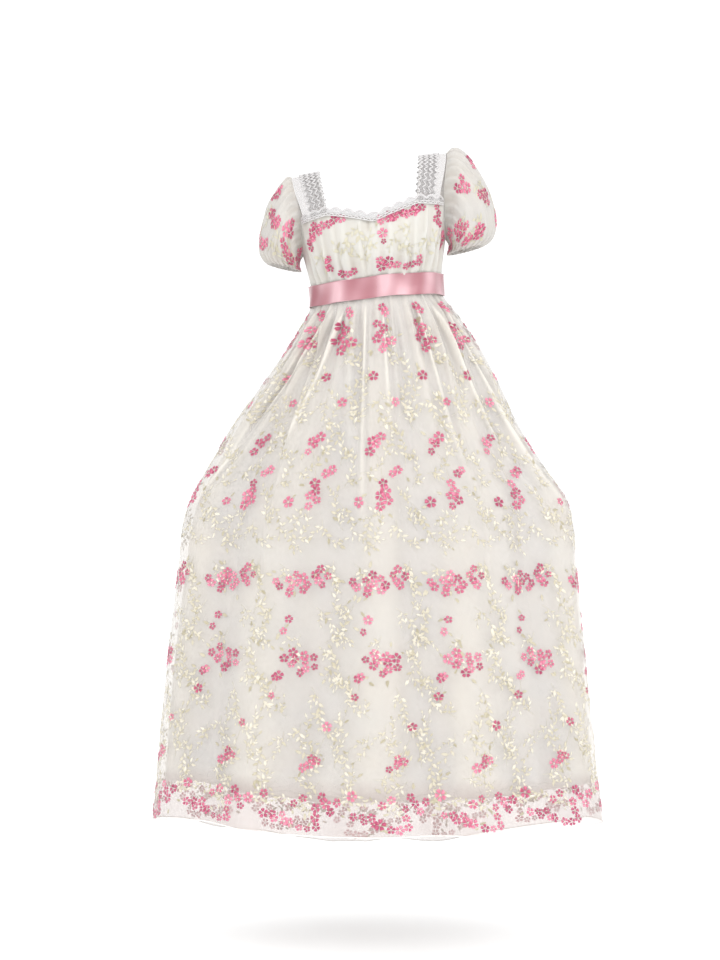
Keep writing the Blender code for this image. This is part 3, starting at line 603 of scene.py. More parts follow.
SKIRT_REPEATS = 12
CLUSTER_COLUMNS = ("share", "offset", "count", "wide", "tall", "slant", "radius")
SKIRT_CLUSTERS = (
    (0.042, 0.006, 2, 0.007, 0.011, 70, 0.0096),
    (0.092, 0.004, 7, 0.021, 0.030, 25, 0.0100),
    (0.166, -0.014, 1, 0.000, 0.000, 0, 0.0103),
    (0.214, 0.030, 1, 0.000, 0.000, 0, 0.0103),
    (0.292, -0.012, 4, 0.022, 0.009, 50, 0.0100),
    (0.343, 0.032, 2, 0.011, 0.009, 60, 0.0105),
    (0.384, 0.008, 5, 0.013, 0.027, -4, 0.0105),
    (0.398, -0.040, 1, 0.000, 0.000, 0, 0.0110),
    (0.545, 0.000, 14, 0.056, 0.020, 8, 0.0093),
    (0.520, 0.034, 1, 0.000, 0.000, 0, 0.0098),
    (0.612, -0.021, 1, 0.000, 0.000, 0, 0.0088),
    (0.634, -0.030, 1, 0.000, 0.000, 0, 0.0084),
    (0.690, 0.008, 10, 0.036, 0.022, -20, 0.0096),
    (0.716, -0.034, 2, 0.012, 0.003, 5, 0.0090),
    (0.752, -0.046, 1, 0.000, 0.000, 0, 0.0090),
    (0.806, 0.062, 1, 0.000, 0.000, 0, 0.0098),
    (0.872, 0.030, 4, 0.020, 0.010, 38, 0.0093),
    (0.930, -0.052, 1, 0.000, 0.000, 0, 0.0113),
    (0.950, 0.062, 6, 0.029, 0.025, 30, 0.0096),
    (0.978, 0.000, 1, 0.000, 0.000, 0, 0.0116),
    (0.968, -0.028, 5, 0.026, 0.011, -12, 0.0092),
    (0.940, 0.010, 2, 0.016, 0.010, 40, 0.0088),
    (0.986, 0.040, 3, 0.022, 0.005, 5, 0.0092),
)
SPRAY_COLUMNS = ("share", "offset", "heading", "length", "curl", "gold")
SKIRT_SPRAYS = (
    (0.150, 0.010, 80, 0.072, 35, 0.3),
    (0.185, -0.020, 110, 0.065, -40, 0.5),
    (0.205, 0.000, -80, 0.055, 40, 0.5),
    (0.240, 0.036, 60, 0.078, 45, 0.2),
    (0.262, 0.000, 75, 0.068, 50, 0.1),
    (0.265, -0.044, 95, 0.081, -30, 0.4),
    (0.318, 0.010, 60, 0.055, -45, 0.3),
    (0.330, 0.048, 100, 0.072, 30, 0.6),
    (0.345, -0.036, 40, 0.062, 60, 0.7),
    (0.372, -0.070, 80, 0.070, 40, 0.4),
    (0.400, 0.060, -70, 0.072, -45, 0.3),
    (0.415, -0.010, -95, 0.078, 40, 0.5),
    (0.430, 0.030, -50, 0.065, 55, 0.2),
    (0.450, -0.070, 100, 0.078, -35, 0.6),
    (0.470, -0.022, 70, 0.065, 60, 0.1),
    (0.505, 0.058, -75, 0.060, 45, 0.7),
    (0.512, -0.046, -60, 0.062, -50, 0.3),
    (0.585, -0.048, -100, 0.081, 35, 0.5),
    (0.590, 0.030, -60, 0.078, -40, 0.2),
    (0.605, 0.060, 90, 0.086, 30, 0.3),
    (0.640, 0.004, -90, 0.060, 45, 0.5),
    (0.655, 0.050, 55, 0.072, 45, 0.7),
    (0.655, 0.062, -100, 0.070, -40, 0.2),
    (0.706, -0.078, -80, 0.075, -50, 0.3),
    (0.735, 0.030, -80, 0.078, -35, 0.2),
    (0.745, 0.074, 100, 0.086, 40, 0.5),
    (0.770, 0.044, -60, 0.066, 50, 0.6),
    (0.790, -0.016, 120, 0.078, -45, 0.6),
    (0.800, 0.012, -70, 0.075, 50, 0.3),
    (0.818, -0.020, -120, 0.062, -45, 0.3),
    (0.840, -0.052, -95, 0.083, 35, 0.4),
    (0.845, 0.010, 80, 0.060, 50, 0.7),
    (0.862, 0.078, 70, 0.072, -55, 0.2),
    (0.880, -0.084, 70, 0.062, -40, 0.4),
    (0.900, -0.010, 30, 0.078, 50, 0.5),
    (0.905, 0.052, -110, 0.065, 40, 0.3),
    (0.955, -0.076, 60, 0.078, -40, 0.6),
    (0.965, 0.026, 150, 0.072, 35, 0.2),
)
LINK_COLUMNS = ("share", "offset", "end_share", "end_offset", "bow")
SKIRT_LINKS = (
    (0.520, 0.034, 0.540, 0.018, 0.003),
    (0.720, -0.040, 0.752, -0.046, 0.004),
    (0.752, -0.046, 0.840, -0.070, -0.010),
    (0.806, 0.062, 0.862, 0.036, 0.006),
    (0.884, 0.030, 0.938, 0.056, -0.010),
    (0.300, -0.012, 0.370, 0.004, 0.006),
)


def blossom_shape():
    """One blossom of radius 1: places, heights, tones, stitch map, triangles and which thread each takes."""
    outline = (
        (0.18, 0.0), (0.45, -0.48), (0.80, -0.47), (1.0, -0.22),
        (0.90, 0.0), (1.0, 0.22), (0.80, 0.47), (0.45, 0.48),
    )
    petal_tones = (0.95, 0.25, 0.8, 0.45, 0.65)
    points, faces, thread = [], [], []
    for k in range(5):
        middle = 2 * np.pi * k / 5
        start = len(points)
        points.append((0.62 * np.cos(middle), 0.62 * np.sin(middle), 1.0, petal_tones[k], 0.0, 0.62))
        for r, turned in outline:
            tip = 0.5 if r > 0.85 else 0.0
            angle = middle + turned
            points.append((r * np.cos(angle), r * np.sin(angle), 0.25, tip, turned * r, r))
        faces += [(start, start + 1 + i, start + 1 + (i + 1) % 8) for i in range(8)]
        thread += [0] * 8
    start = len(points)
    points.append((0, 0, 1.3, 0.9, 0, 0))
    points += [(0.15 * np.cos(a), 0.15 * np.sin(a), 0.5, 0.6, 0.2, a) for a in np.arange(6) * np.pi / 3]
    faces += [(start, start + 1 + i, start + 1 + (i + 1) % 6) for i in range(6)]
    thread += [1] * 6
    return np.array(points), np.array(faces), np.array(thread)


def leaf_shape():
    """One leaf of length 1, lying along its first direction."""
    outline = ((0.0, 0.0), (0.28, -0.21), (0.62, -0.19), (1.0, 0.0), (0.62, 0.19), (0.28, 0.21))
    points = [(0.48, 0.0, 1.0, 0.9, 0.0, 0.48)]
    points += [(x, y, 0.2, 0.55, y, x) for x, y in outline]
    faces = [(0, 1 + i, 1 + (i + 1) % 6) for i in range(6)]
    return np.array(points), np.array(faces), np.ones(6, int)


def metres_per_step(plain, a, b):
    """How many metres one whole step of each parameter covers on the unfolded surface."""
    h = 0.002
    across = np.linalg.norm(plain(a + h, b) - plain(a - h, b), axis=-1) / (2 * h)
    along = np.linalg.norm(plain(a, b + h) - plain(a, b - h), axis=-1) / (2 * h)
    return np.maximum(across, 0.02), np.maximum(along, 0.02)


STITCH_FOOT = 0.0004
STEM_TOP = 0.0009
STEM_TONE = 0.74


def strew(shape, spots, plain, lift):
    """Copies of a shape at rows of a, b, size, angle and tone, as surface places with heights and tones."""
    points, faces, thread = shape
    a, b, size, angle, tone = (spots[:, i:i + 1] for i in range(5))
    across, along = metres_per_step(plain, a, b)
    cos, sin = np.cos(angle), np.sin(angle)
    x = (points[:, 0] * cos - points[:, 1] * sin) * size * (0.93 + 0.10 * np.sin(5 * angle))
    y = (points[:, 0] * sin + points[:, 1] * cos) * size * (0.93 - 0.10 * np.sin(4 * angle))
    n = len(spots)
    return {
        "a": (a + x / across).ravel(),
        "b": (b + y / along).ravel(),
        "lift": np.tile(points[:, 2] * lift, n) + STITCH_FOOT,
        "tone": np.clip(points[:, 3] * 0.65 + tone * 0.65 - 0.17, 0, 1).ravel(),
        "uv": map_of(points[:, 4] * size, points[:, 5] * size),
        "faces": (faces[None] + len(points) * np.arange(n)[:, None, None]).reshape(-1, 3),
        "thread": np.tile(thread, n),
    }


def couched_stems(lines, width, plain):
    """Narrow raised ribbons along lines of surface places, two sides and a ridge."""
    a, b = lines[..., 0], lines[..., 1]
    across, along = metres_per_step(plain, a, b)
    da, db = np.gradient(a, axis=1) * across, np.gradient(b, axis=1) * along
    size = np.maximum(np.hypot(da, db), 1e-9)
    n, m = a.shape
    off_a, off_b = -db / size * width / across, da / size * width / along
    faces = grid_faces(3, m)
    walk = np.tile(np.cumsum(size, axis=1)[:, None], (1, 3, 1)).ravel()
    return {
        "a": np.stack([a - off_a, a, a + off_a], axis=1).ravel(),
        "b": np.stack([b - off_b, b, b + off_b], axis=1).ravel(),
        "lift": np.tile(np.repeat([STITCH_FOOT, STEM_TOP, STITCH_FOOT], m), n),
        "tone": np.full(n * 3 * m, STEM_TONE),
        "uv": map_of(walk, np.tile(np.repeat([0, 0.5, 1.0], m), n) * width),
        "faces": (faces[None] + 3 * m * np.arange(n)[:, None, None]).reshape(-1, 4),
        "thread": np.ones(n * len(faces), int),
    }


def sew(name, motifs, plain, surface, threads, sizes):
    """Blossoms, leaves and stems as one piece. Sizes: width of stems, lift of leaves, lift of blossoms."""
    blossoms, leaves, stems = motifs
    stem_width, leaf_lift, blossom_lift = sizes
    parts = [
        couched_stems(stems, stem_width, plain),
        strew(leaf_shape(), leaves, plain, leaf_lift),
        strew(blossom_shape(), blossoms, plain, blossom_lift)]
    base, faces, slots = 0, {3: [], 4: []}, {3: [], 4: []}
    for part in parts:
        corners = part["faces"].shape[1]
        faces[corners].append(part["faces"] + base)
        slots[corners].append(part["thread"])
        base += len(part["a"])
    a, b, lift, tone = (np.concatenate([p[k] for p in parts]) for k in ("a", "b", "lift", "tone"))
    points = surface(a, b) + facing_of(surface, a, b) * lift[:, None]
    uv = np.concatenate([p["uv"] for p in parts])
    slots = np.concatenate([np.concatenate(slots[k]) for k in (3, 4)])
    return add_mesh(name, points, [np.concatenate(faces[k]) for k in (3, 4)], threads, uv, tone, slots)


GOLDEN_ANGLE = 2.39996


def cluster(count, wide, tall, slant, seed):
    """Offsets of blossoms packed evenly in a slanted oval, in metres."""
    if count == 1:
        return np.zeros((1, 2))
    i = np.arange(count) + 0.5
    away, angle = np.sqrt(i / count), i * GOLDEN_ANGLE + seed
    x, y = wide * away * np.cos(angle), tall * away * np.sin(angle)
    cos, sin = np.cos(np.radians(slant)), np.sin(np.radians(slant))
    return np.stack([x * cos - y * sin, x * sin + y * cos], axis=1)


SPRAY_STEPS = 9
STEM_LEAF_EVERY = 0.0078
STEM_LEAF_SIZE = 0.0124
TWIG_EVERY = 0.032
TWIG_LEAF_SIZE = 0.0108


def spray(heading, length, curl, dice):
    """A curved stem with leafy twigs: offsets of its lines, and rows of leaf offset, heading and length."""
    way = np.linspace(0, 1, SPRAY_STEPS)
    lines, rows = [], []

    def grow(start, first, reach, turned, count, size):
        bend = np.radians(first + turned * (way - 0.5) * 2)
        step = np.stack([np.cos(bend), np.sin(bend)], axis=1) * reach / (SPRAY_STEPS - 1)
        line = start + np.concatenate([[[0, 0]], np.cumsum(step[:-1], axis=0)])
        lines.append(line)
        for i in range(count):
            at = 0.15 + 0.85 * (i + 0.5 * dice.random()) / count if i < count - 1 else 1.0
            x, y = (np.interp(at, way, line[:, k]) for k in (0, 1))
            side = 0 if i == count - 1 else (1 if i % 2 else -1)
            turned_out = side * np.radians(dice.uniform(30, 62))
            rows.append((x, y, np.interp(at, way, bend) + turned_out, size * dice.uniform(0.55, 1.2)))
        return line, bend

    leaf_count = int(length / STEM_LEAF_EVERY)
    stem, bend = grow(np.zeros(2), heading, length, 0.6 * curl, leaf_count, STEM_LEAF_SIZE)
    twigs = int(length / TWIG_EVERY)
    for i in range(twigs):
        at = 0.18 + 0.68 * i / max(twigs - 1, 1)
        root = np.array([np.interp(at, way, stem[:, k]) for k in (0, 1)])
        side = 1 if i % 2 else -1
        first = np.degrees(np.interp(at, way, bend)) + side * dice.uniform(38, 62)
        grow(root, first, dice.uniform(0.016, 0.030), -side * dice.uniform(5, 30), 4, TWIG_LEAF_SIZE)
    return np.array(lines), np.array(rows)


def leaf_tone(gold, dice):
    """The shade of one leaf: 1 nearly white, lower more golden, and here and there an olive one."""
    return dice.uniform(0.15, 1.0) ** (0.45 + gold) - (0.7 if dice.random() < 0.12 else 0)


def add_spray(row, at, scale, dice, leaves, stems, growth=1.0):
    """One spray at a place of a surface, with its leaves and stems added to the lists."""
    lines, leaf_rows = spray(row["heading"], row["length"], row["curl"], dice)
    stems += list(np.array(at) + lines / scale)
    for x, y, angle, length in leaf_rows:
        tone = leaf_tone(row["gold"], dice)
        leaves.append((at[0] + x / scale[0], at[1] + y / scale[1], length * growth, angle, tone))


def scale_at(plain, a, b):
    return tuple(float(metres) for metres in metres_per_step(plain, a, b))


def column_turn(column, share):
    """Where a column of motifs runs: a little to +X of even near the waist."""
    return (column + 0.02) / SKIRT_REPEATS + 0.010 * np.exp(-share / 0.15)


HEM_CLEAR = 0.994
SKIRT_LENGTH = 1.05
WHOLE_SPIN = 6.28


def flat_overlay(turn, up):
    return overlay(turn, up, 0.0)


def skirt_motifs(columns):
    """All blossoms, leaves and stems of the given columns, as rows for strew and couched_stems."""
    dice = np.random.default_rng(7)
    blossoms, leaves, stems = [], [], []
    for column in columns:
        for number, r in enumerate(named(CLUSTER_COLUMNS, SKIRT_CLUSTERS)):
            middle, up = column_turn(column, r["share"]), -r["share"]
            across, along = scale_at(flat_overlay, middle, up)
            squeeze = 1 + 0.25 * np.exp(-r["share"] / 0.1)
            for angle in dice.uniform(0, 2 * np.pi, int(1 + r["count"] / 3)):
                x = (r["wide"] + r["radius"]) * np.cos(angle)
                y = (r["tall"] + r["radius"]) * np.sin(angle)
                leaves.append((
                    middle + (r["offset"] + x) / across / squeeze, up + y / along, dice.uniform(0.010, 0.015),
                    angle + dice.uniform(-0.7, 0.7), dice.uniform(-0.3, 0.5)))
            for x, y in cluster(int(r["count"]), r["wide"], r["tall"], r["slant"], number):
                blossoms.append((
                    middle + (r["offset"] + x) / across / squeeze, up + y / along,
                    r["radius"] * dice.uniform(0.82, 1.12), dice.uniform(0, WHOLE_SPIN), dice.uniform(0, 1)))
        for r in named(SPRAY_COLUMNS, SKIRT_SPRAYS):
            middle = column_turn(column, r["share"])
            scale = scale_at(flat_overlay, middle, -r["share"])
            add_spray(r, (middle + r["offset"] / scale[0], -r["share"]), scale, dice, leaves, stems)
        for r in named(LINK_COLUMNS, SKIRT_LINKS):
            way = np.linspace(0, 1, SPRAY_STEPS)
            share = r["share"] + (r["end_share"] - r["share"]) * way
            across = metres_per_step(flat_overlay, column_turn(column, share), -share)[0]
            offset = r["offset"] + (r["end_offset"] - r["offset"]) * way + r["bow"] * np.sin(np.pi * way)
            stems.append(np.stack([column_turn(column, share) + offset / across, -share], axis=1))
    blossoms, leaves, stems = np.array(blossoms), np.array(leaves), np.array(stems)
    reach = leaves[:, 2] * np.abs(np.sin(leaves[:, 3])) / SKIRT_LENGTH
    leaves = leaves[leaves[:, 1] - reach > -HEM_CLEAR]
    return blossoms, leaves, stems[stems[:, :, 1].min(axis=1) > -HEM_CLEAR]


PETAL_SHADES = (
    (0.0, (0.27, 0.026, 0.078)),
    (0.3, (0.45, 0.08, 0.155)),
    (0.6, (0.62, 0.18, 0.275)),
    (1.0, (0.81, 0.46, 0.525)),
)


def petal_finish():
    """Rose silk thread in satin stitch: dark at the blossom's heart, paler at the petal tips, with a faint
    painted glow.
    """
    f = Finish("rose_thread")
    u, v = f.cloth_map()
    tone = f.tone()
    stitch = (u * 1600 + v * 300).wave()
    colour = f.ramp(tone * 0.8 + stitch * 0.12, PETAL_SHADES)
    # The emission is a painted glow: it keeps blossoms pink where they lie in shade, as on the back panel
    # seen through the hem.
    return f.cloth(colour, stitch, (0.42, 0.15), (0.6, 0.0004), Emission_Color=colour, Emission_Strength=0.30)


def leaf_finish(name, stops):
    """Cream and pale gold thread, with a few olive stitches, glossier than the rose."""
    f = Finish(name)
    u, v = f.cloth_map()
    tone = f.tone()
    stitch = (u * 1500 + v * 500).wave()
    colour = f.ramp(tone * 0.85 + stitch * 0.15, stops)
    return f.cloth(colour, stitch, (0.34, 0.15), (0.5, 0.0004), Sheen_Weight=0.1)


CREAM_SHADES = (
    (0.0, (0.36, 0.32, 0.21)),
    (0.4, (0.53, 0.48, 0.35)),
    (0.7, (0.67, 0.62, 0.50)),
    (1.0, (0.84, 0.81, 0.72)),
)
SKIRT_STITCH = (0.00026, 0.0006, 0.0010)
ROSE_THREAD = petal_finish()
THREADS = [ROSE_THREAD, leaf_finish("cream_thread", CREAM_SHADES)]
for side, columns in (("front", range(-3, 3)), ("back", range(3, 9))):
    motifs = skirt_motifs(columns)
    sewn = sew(f"embroidery_skirt_{side}", motifs, flat_overlay, overlay, THREADS, SKIRT_STITCH)
    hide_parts(f"skirt_{side}")

# Bodice
# The front is the same embroidered organza laid over ivory cloth, gathered along the waist seam.
# It is also drawn in at the middle of the neckline. The back is plainer, in two halves that close behind.
# The upper edge follows the neckline, the short yoke seams and the lower half of each armhole.

SHOULDER_RISE = 0.2455
SEAM_ROLL = np.radians(5.6)
SHOULDER_ROLL = np.radians(9.1)
BODICE_COLUMNS = ("rise", "right", "left", "front", "back", "pinch", "gather")
BODICE_RINGS = (
    (-0.022, 0.1290, 0.1290, 0.1030, 0.0910, -0.06, 0.0012),
    (0.000, 0.1270, 0.1270, 0.1000, 0.0900, -0.06, 0.0011),
    (0.020, 0.1275, 0.1275, 0.1025, 0.0905, -0.07, 0.0012),
    (0.036, 0.1300, 0.1300, 0.1110, 0.0915, -0.08, 0.0028),
    (0.060, 0.1345, 0.1345, 0.1220, 0.0930, -0.10, 0.0020),
    (0.085, 0.1395, 0.1395, 0.1250, 0.0950, -0.16, 0.0012),
    (0.115, 0.1450, 0.1450, 0.1200, 0.0965, -0.28, 0.0008),
    (0.140, 0.1485, 0.1485, 0.1135, 0.0970, -0.38, 0.0008),
    (0.165, 0.1500, 0.1500, 0.1080, 0.0960, -0.42, 0.0008),
)
BODICE_GATHERS = 32
FULLNESS = {"depth": 0.0065, "x": 0.060, "width": 0.034, "rise": 0.078, "height": 0.038}
FLAT_SIDE_TURN = 0.06
NECK_CENTRE_RISE = 0.1295
NECK_CORNER_RISE = 0.154
NECK_CORNER_X = 0.087
NECK_DIP_POWER = 0.75
NECK_DIP_ROUND = 0.012
YOKE_SEAM_RISE = 0.148
BACK_NECK_RISE = 0.151
ARM_RISE = 0.165
ARM_HALF_HEIGHT = 0.080
ARM_HALF_DEPTH = 0.056
ARM_TOP_X = 0.152
CREASE_COLUMNS = ("turn_low", "turn_high", "rise_low", "rise_high", "height", "width")
BODICE_CREASES = (
    (-0.150, -0.172, 0.015, 0.115, 0.0042, 0.0065),
    (-0.118, -0.128, 0.015, 0.085, 0.0035, 0.0060),
    (-0.078, -0.082, 0.015, 0.070, 0.0029, 0.0055),
    (-0.022, -0.012, 0.015, 0.110, 0.0032, 0.0070),
    (0.030, 0.022, 0.015, 0.090, 0.0029, 0.0060),
    (0.074, 0.070, 0.015, 0.075, 0.0032, 0.0060),
    (0.108, 0.120, 0.015, 0.095, 0.0035, 0.0060),
    (0.140, 0.168, 0.015, 0.125, 0.0042, 0.0065),
    (0.012, 0.006, 0.085, 0.175, 0.0051, 0.0050),
    (-0.016, -0.004, 0.095, 0.165, -0.0026, 0.0040),
    (0.036, 0.012, 0.100, 0.170, 0.0022, 0.0050),
    (-0.040, -0.012, 0.100, 0.170, 0.0022, 0.0050),
    (0.390, 0.400, 0.010, 0.080, 0.0022, 0.0080),
    (0.610, 0.598, 0.010, 0.080, 0.0022, 0.0080),
)
TORSO = Rings(BODICE_RINGS, BODICE_COLUMNS)


def on_torso(x, y, rise):
    """Points given across, through and up the torso, placed in the leaning and tilted pose."""
    share = np.maximum(np.asarray(rise, float) / SHOULDER_RISE, 0)
    roll = SEAM_ROLL + (SHOULDER_ROLL - SEAM_ROLL) * share
    return np.stack(np.broadcast_arrays(
        SEAM_X * (1 - share) + x * np.cos(roll), y, rise - SHOULDER_RISE + x * np.sin(roll)), axis=-1)


def bodice_folds(turn, rise):
    """How far the cloth stands out of the plain torso ring: gathers at the belt, and single creases."""
    around = turns_apart(np.asarray(turn), 0)
    gather = smooth(BODICE_RINGS, BODICE_COLUMNS, "gather", rise) * np.where(np.abs(around) < 0.25, 1.0, 0.4)
    flat_side = np.clip(np.abs(np.abs(around) - 0.25) / FLAT_SIDE_TURN, 0, 1)
    phase = 2 * np.pi * BODICE_GATHERS * spread(turn)
    deep = gather * flat_side * (np.cos(phase) + 0.3 * np.cos(2 * phase + 1.3 * np.sin(19 * turn)))
    for crease in named(CREASE_COLUMNS, BODICE_CREASES):
        run = (rise - crease["rise_low"]) / (crease["rise_high"] - crease["rise_low"])
        centre = crease["turn_low"] + (crease["turn_high"] - crease["turn_low"]) * run
        away = turns_apart(turn, centre)
        fade = np.clip(4 * run * (1 - run), 0, 1) ** 0.7
        deep = deep + crease["height"] * fade * np.exp(-(away / crease["width"]) ** 2)
    return deep


def bodice(turn, rise, push=0.0, folded=1.0):
    """Points of the bodice, gathered in front, drawn in at the neckline's middle and plainer behind."""
    x, y = TORSO.at(turn, rise)
    lobe = np.exp(-((np.abs(x) - FULLNESS["x"]) / FULLNESS["width"]) ** 2)
    lobe = lobe * np.exp(-((rise - FULLNESS["rise"]) / FULLNESS["height"]) ** 2)
    y = np.where(y < 0, y - FULLNESS["depth"] * lobe, y)
    nx, ny = TORSO.facing(turn, rise)
    out = push + folded * bodice_folds(turn, rise)
    return on_torso(x + nx * out, y + ny * out, rise)


def torso_x(y, rise, depth_name):
    """How far out the plain torso ring lies at one distance before or behind its middle."""
    angle = np.linspace(0, np.pi / 2, 400)
    names = ("right", depth_name, "pinch")
    reach, depth, pinch = (smooth(BODICE_RINGS, BODICE_COLUMNS, n, rise) for n in names)
    out = depth * np.cos(angle) * (1 - pinch * np.sin(angle) ** 2)
    return np.interp(-abs(y), -out, reach * np.sin(angle))


ARMHOLE_STEPS = 720


def armhole_line(side):
    """Points of the armhole seam at even angles, from its top, forward and down."""
    points = []
    for angle in 2 * np.pi * np.arange(ARMHOLE_STEPS + 1) / ARMHOLE_STEPS:
        y = -ARM_HALF_DEPTH * np.sin(angle)
        rise = ARM_RISE + ARM_HALF_HEIGHT * np.cos(angle)
        x = torso_x(y, min(rise, YOKE_SEAM_RISE), "front" if y < 0 else "back")
        lift = np.clip((rise - YOKE_SEAM_RISE) / (ARM_RISE + ARM_HALF_HEIGHT - YOKE_SEAM_RISE), 0, 1)
        points.append(on_torso(side * (x + (ARM_TOP_X - x) * lift ** 1.6), y, rise))
    return np.array(points)


ARMHOLES = {side: armhole_line(side) for side in (1, -1)}


def armhole(side, angle):
    """Points of the armhole seam."""
    place = (np.asarray(angle, float) / (2 * np.pi)) % 1.0 * (len(ARMHOLES[side]) - 1)
    steps = np.arange(len(ARMHOLES[side]))
    return np.stack([np.interp(place, steps, ARMHOLES[side][:, k]) for k in range(3)], axis=-1)


def armhole_rise(turn, otherwise):
    """The rise of the armhole's lower half where a turn falls inside it, or the other edge's rise."""
    rise = np.full(np.shape(turn), ARM_RISE)
    for _ in range(5):
        y = TORSO.at(turn, rise)[1]
        rise = ARM_RISE - ARM_HALF_HEIGHT * np.sqrt(np.clip(1 - (y / ARM_HALF_DEPTH) ** 2, 0, 1))
    return np.where(rise < YOKE_SEAM_RISE, rise, otherwise)


def front_top(turn):
    """The rise of the front's upper edge: neckline, yoke seam, then the armhole."""
    x = np.abs(TORSO.at(turn, NECK_CORNER_RISE)[0])
    run, whole = (np.hypot(out, NECK_DIP_ROUND) - NECK_DIP_ROUND for out in (x, NECK_CORNER_X))
    run = run / whole
    neck = (NECK_CORNER_RISE - NECK_CENTRE_RISE) * np.clip(run, 0, 1) ** NECK_DIP_POWER
    past = np.clip((x - NECK_CORNER_X) / 0.05, 0, 1)
    return armhole_rise(turn, NECK_CENTRE_RISE + neck + (YOKE_SEAM_RISE - NECK_CORNER_RISE) * past)


def back_top(turn):
    """The rise of the back's upper edge."""
    x = np.abs(TORSO.at(turn, BACK_NECK_RISE)[0])
    past = np.clip((x - NECK_CORNER_X) / 0.05, 0, 1)
    return armhole_rise(turn, BACK_NECK_RISE + (YOKE_SEAM_RISE - BACK_NECK_RISE) * past)


def bodice_finish():
    """Organza over ivory cloth: cool white with warm clouds where sprays show through the layers, and painted
    shade between the gathers.
    """
    f = Finish("embroidered_organza_over_ivory")
    u, v = f.cloth_map()
    weave = ((u * 1000).wave() + (v * 1000).wave()) * 0.5
    clouds = f.noise(26.0)
    warm = f.noise(11.0, 1.0)
    colour = f.blend(clouds, (0.55, 0.56, 0.55), (0.61, 0.585, 0.51))
    colour = f.blend(warm * 0.5, colour, (0.59, 0.555, 0.515))
    # Painted shade: darker and warmer between the gathers, where the crease tone is low.
    colour = f.blend((1.0 - f.tone()) ** 2.0 * 0.75, colour, (0.40, 0.35, 0.29))
    return f.cloth(colour, weave, (0.5, 0.15), (0.25, 0.0003), Sheen_Weight=0.25)


CREASE_HEIGHT = 0.0032


def painted_crease_shade(turn, rise):
    """Painted shade: dark between the gathers, light on their ridges."""
    return np.clip(0.62 + 0.6 * np.tanh(bodice_folds(turn, rise) / CREASE_HEIGHT), 0, 1)


BODICE_ROWS = 80
BODICE_MAP = (0.84, 1.0)
BODICE_CLOTH = bodice_finish()
for name, start, end, columns, top_of in (
        ("front", -0.25, 0.25, 361, front_top), ("back_right", 0.25, 0.5, 121, back_top),
        ("back_left", 0.5, 0.75, 121, back_top)):
    turns = crowd(np.linspace(start, end, columns))
    up = np.linspace(1, 0, BODICE_ROWS)[:, None]
    heights = CLOTH_START + (top_of(turns) - CLOTH_START) * up
    across = turns[None] + 0 * heights
    add_sheet(
        f"bodice_cloth_{name}", bodice, across, heights, BODICE_MAP, BODICE_CLOTH, tone=painted_crease_shade)

SMALL_CLUSTER_COLUMNS = ("a", "b", "count", "wide", "tall", "slant", "radius")
SMALL_SPRAY_COLUMNS = ("a", "b", "heading", "length", "curl", "gold")
SMALL_LEAF_GROWTH = 1.15
FRONT_CLUSTERS = (
    (0.020, 0.124, 4, 0.027, 0.005, 0, 0.0093),
    (0.052, 0.130, 7, 0.029, 0.008, 6, 0.0096),
    (0.084, 0.136, 3, 0.013, 0.006, 8, 0.0093),
    (0.016, 0.098, 1, 0.000, 0.000, 0, 0.0111),
    (0.017, 0.082, 1, 0.000, 0.000, 0, 0.0063),
    (0.124, 0.118, 5, 0.009, 0.023, 10, 0.0093),
    (0.131, 0.080, 5, 0.008, 0.023, -8, 0.0090),
    (-0.112, 0.122, 6, 0.020, 0.014, 30, 0.0093),
    (-0.076, 0.134, 3, 0.018, 0.006, 12, 0.0093),
    (-0.122, 0.100, 3, 0.010, 0.010, 0, 0.0090),
    (-0.090, 0.052, 3, 0.009, 0.014, -30, 0.0093),
    (-0.052, 0.032, 3, 0.016, 0.006, 5, 0.0093),
    (0.022, 0.040, 5, 0.022, 0.011, -8, 0.0096),
    (0.064, 0.034, 2, 0.011, 0.005, 30, 0.0093),
    (0.084, 0.044, 2, 0.007, 0.007, 60, 0.0093),
)
FRONT_SPRAYS = (
    (-0.030, 0.120, -80, 0.041, 16, 0.3),
    (-0.056, 0.096, -60, 0.036, -20, 0.6),
    (-0.020, 0.070, 70, 0.036, 18, 0.2),
    (-0.064, 0.060, 110, 0.032, 20, 0.4),
    (0.036, 0.092, -50, 0.041, 16, 0.5),
    (0.070, 0.112, -110, 0.041, -16, 0.2),
    (0.098, 0.088, -60, 0.036, 22, 0.6),
    (0.050, 0.060, 20, 0.036, -24, 0.3),
    (0.110, 0.060, 100, 0.036, 16, 0.4),
    (-0.100, 0.086, -100, 0.036, -16, 0.3),
    (-0.012, 0.046, 150, 0.032, 16, 0.5),
    (0.004, 0.108, 100, 0.022, 12, 0.4),
)


def turn_of(x, rise):
    """The turn at which the front of the plain torso ring lies a given distance from its middle."""
    turns = np.linspace(-0.249, 0.249, 400)
    return np.interp(x, TORSO.at(turns, rise)[0], turns)


def motifs_at(clusters, sprays, place, plain, seed):
    """Blossoms, leaves and stems of the listed clusters and sprays, as rows for strew and couched_stems."""
    dice = np.random.default_rng(seed)
    blossoms, leaves, stems = [], [], []
    for number, r in enumerate(named(SMALL_CLUSTER_COLUMNS, clusters)):
        a, b = place(r["a"], r["b"])
        across, along = scale_at(plain, a, b)
        for x, y in cluster(int(r["count"]), r["wide"], r["tall"], r["slant"], number + seed):
            blossoms.append((
                a + x / across, b + y / along, r["radius"] * dice.uniform(0.9, 1.12),
                dice.uniform(0, WHOLE_SPIN), dice.uniform(0.05, 0.95)))
    for r in named(SMALL_SPRAY_COLUMNS, sprays):
        at = place(r["a"], r["b"])
        add_spray(r, at, scale_at(plain, *at), dice, leaves, stems, SMALL_LEAF_GROWTH)
    return np.array(blossoms), np.array(leaves), np.array(stems)


def stems_inside(stems, low, high):
    """The stems that stay between two limits of their second parameter."""
    return stems[(stems[:, :, 1].min(axis=1) > low) & (stems[:, :, 1].max(axis=1) < high)]


EDGE_CLEAR = 0.004


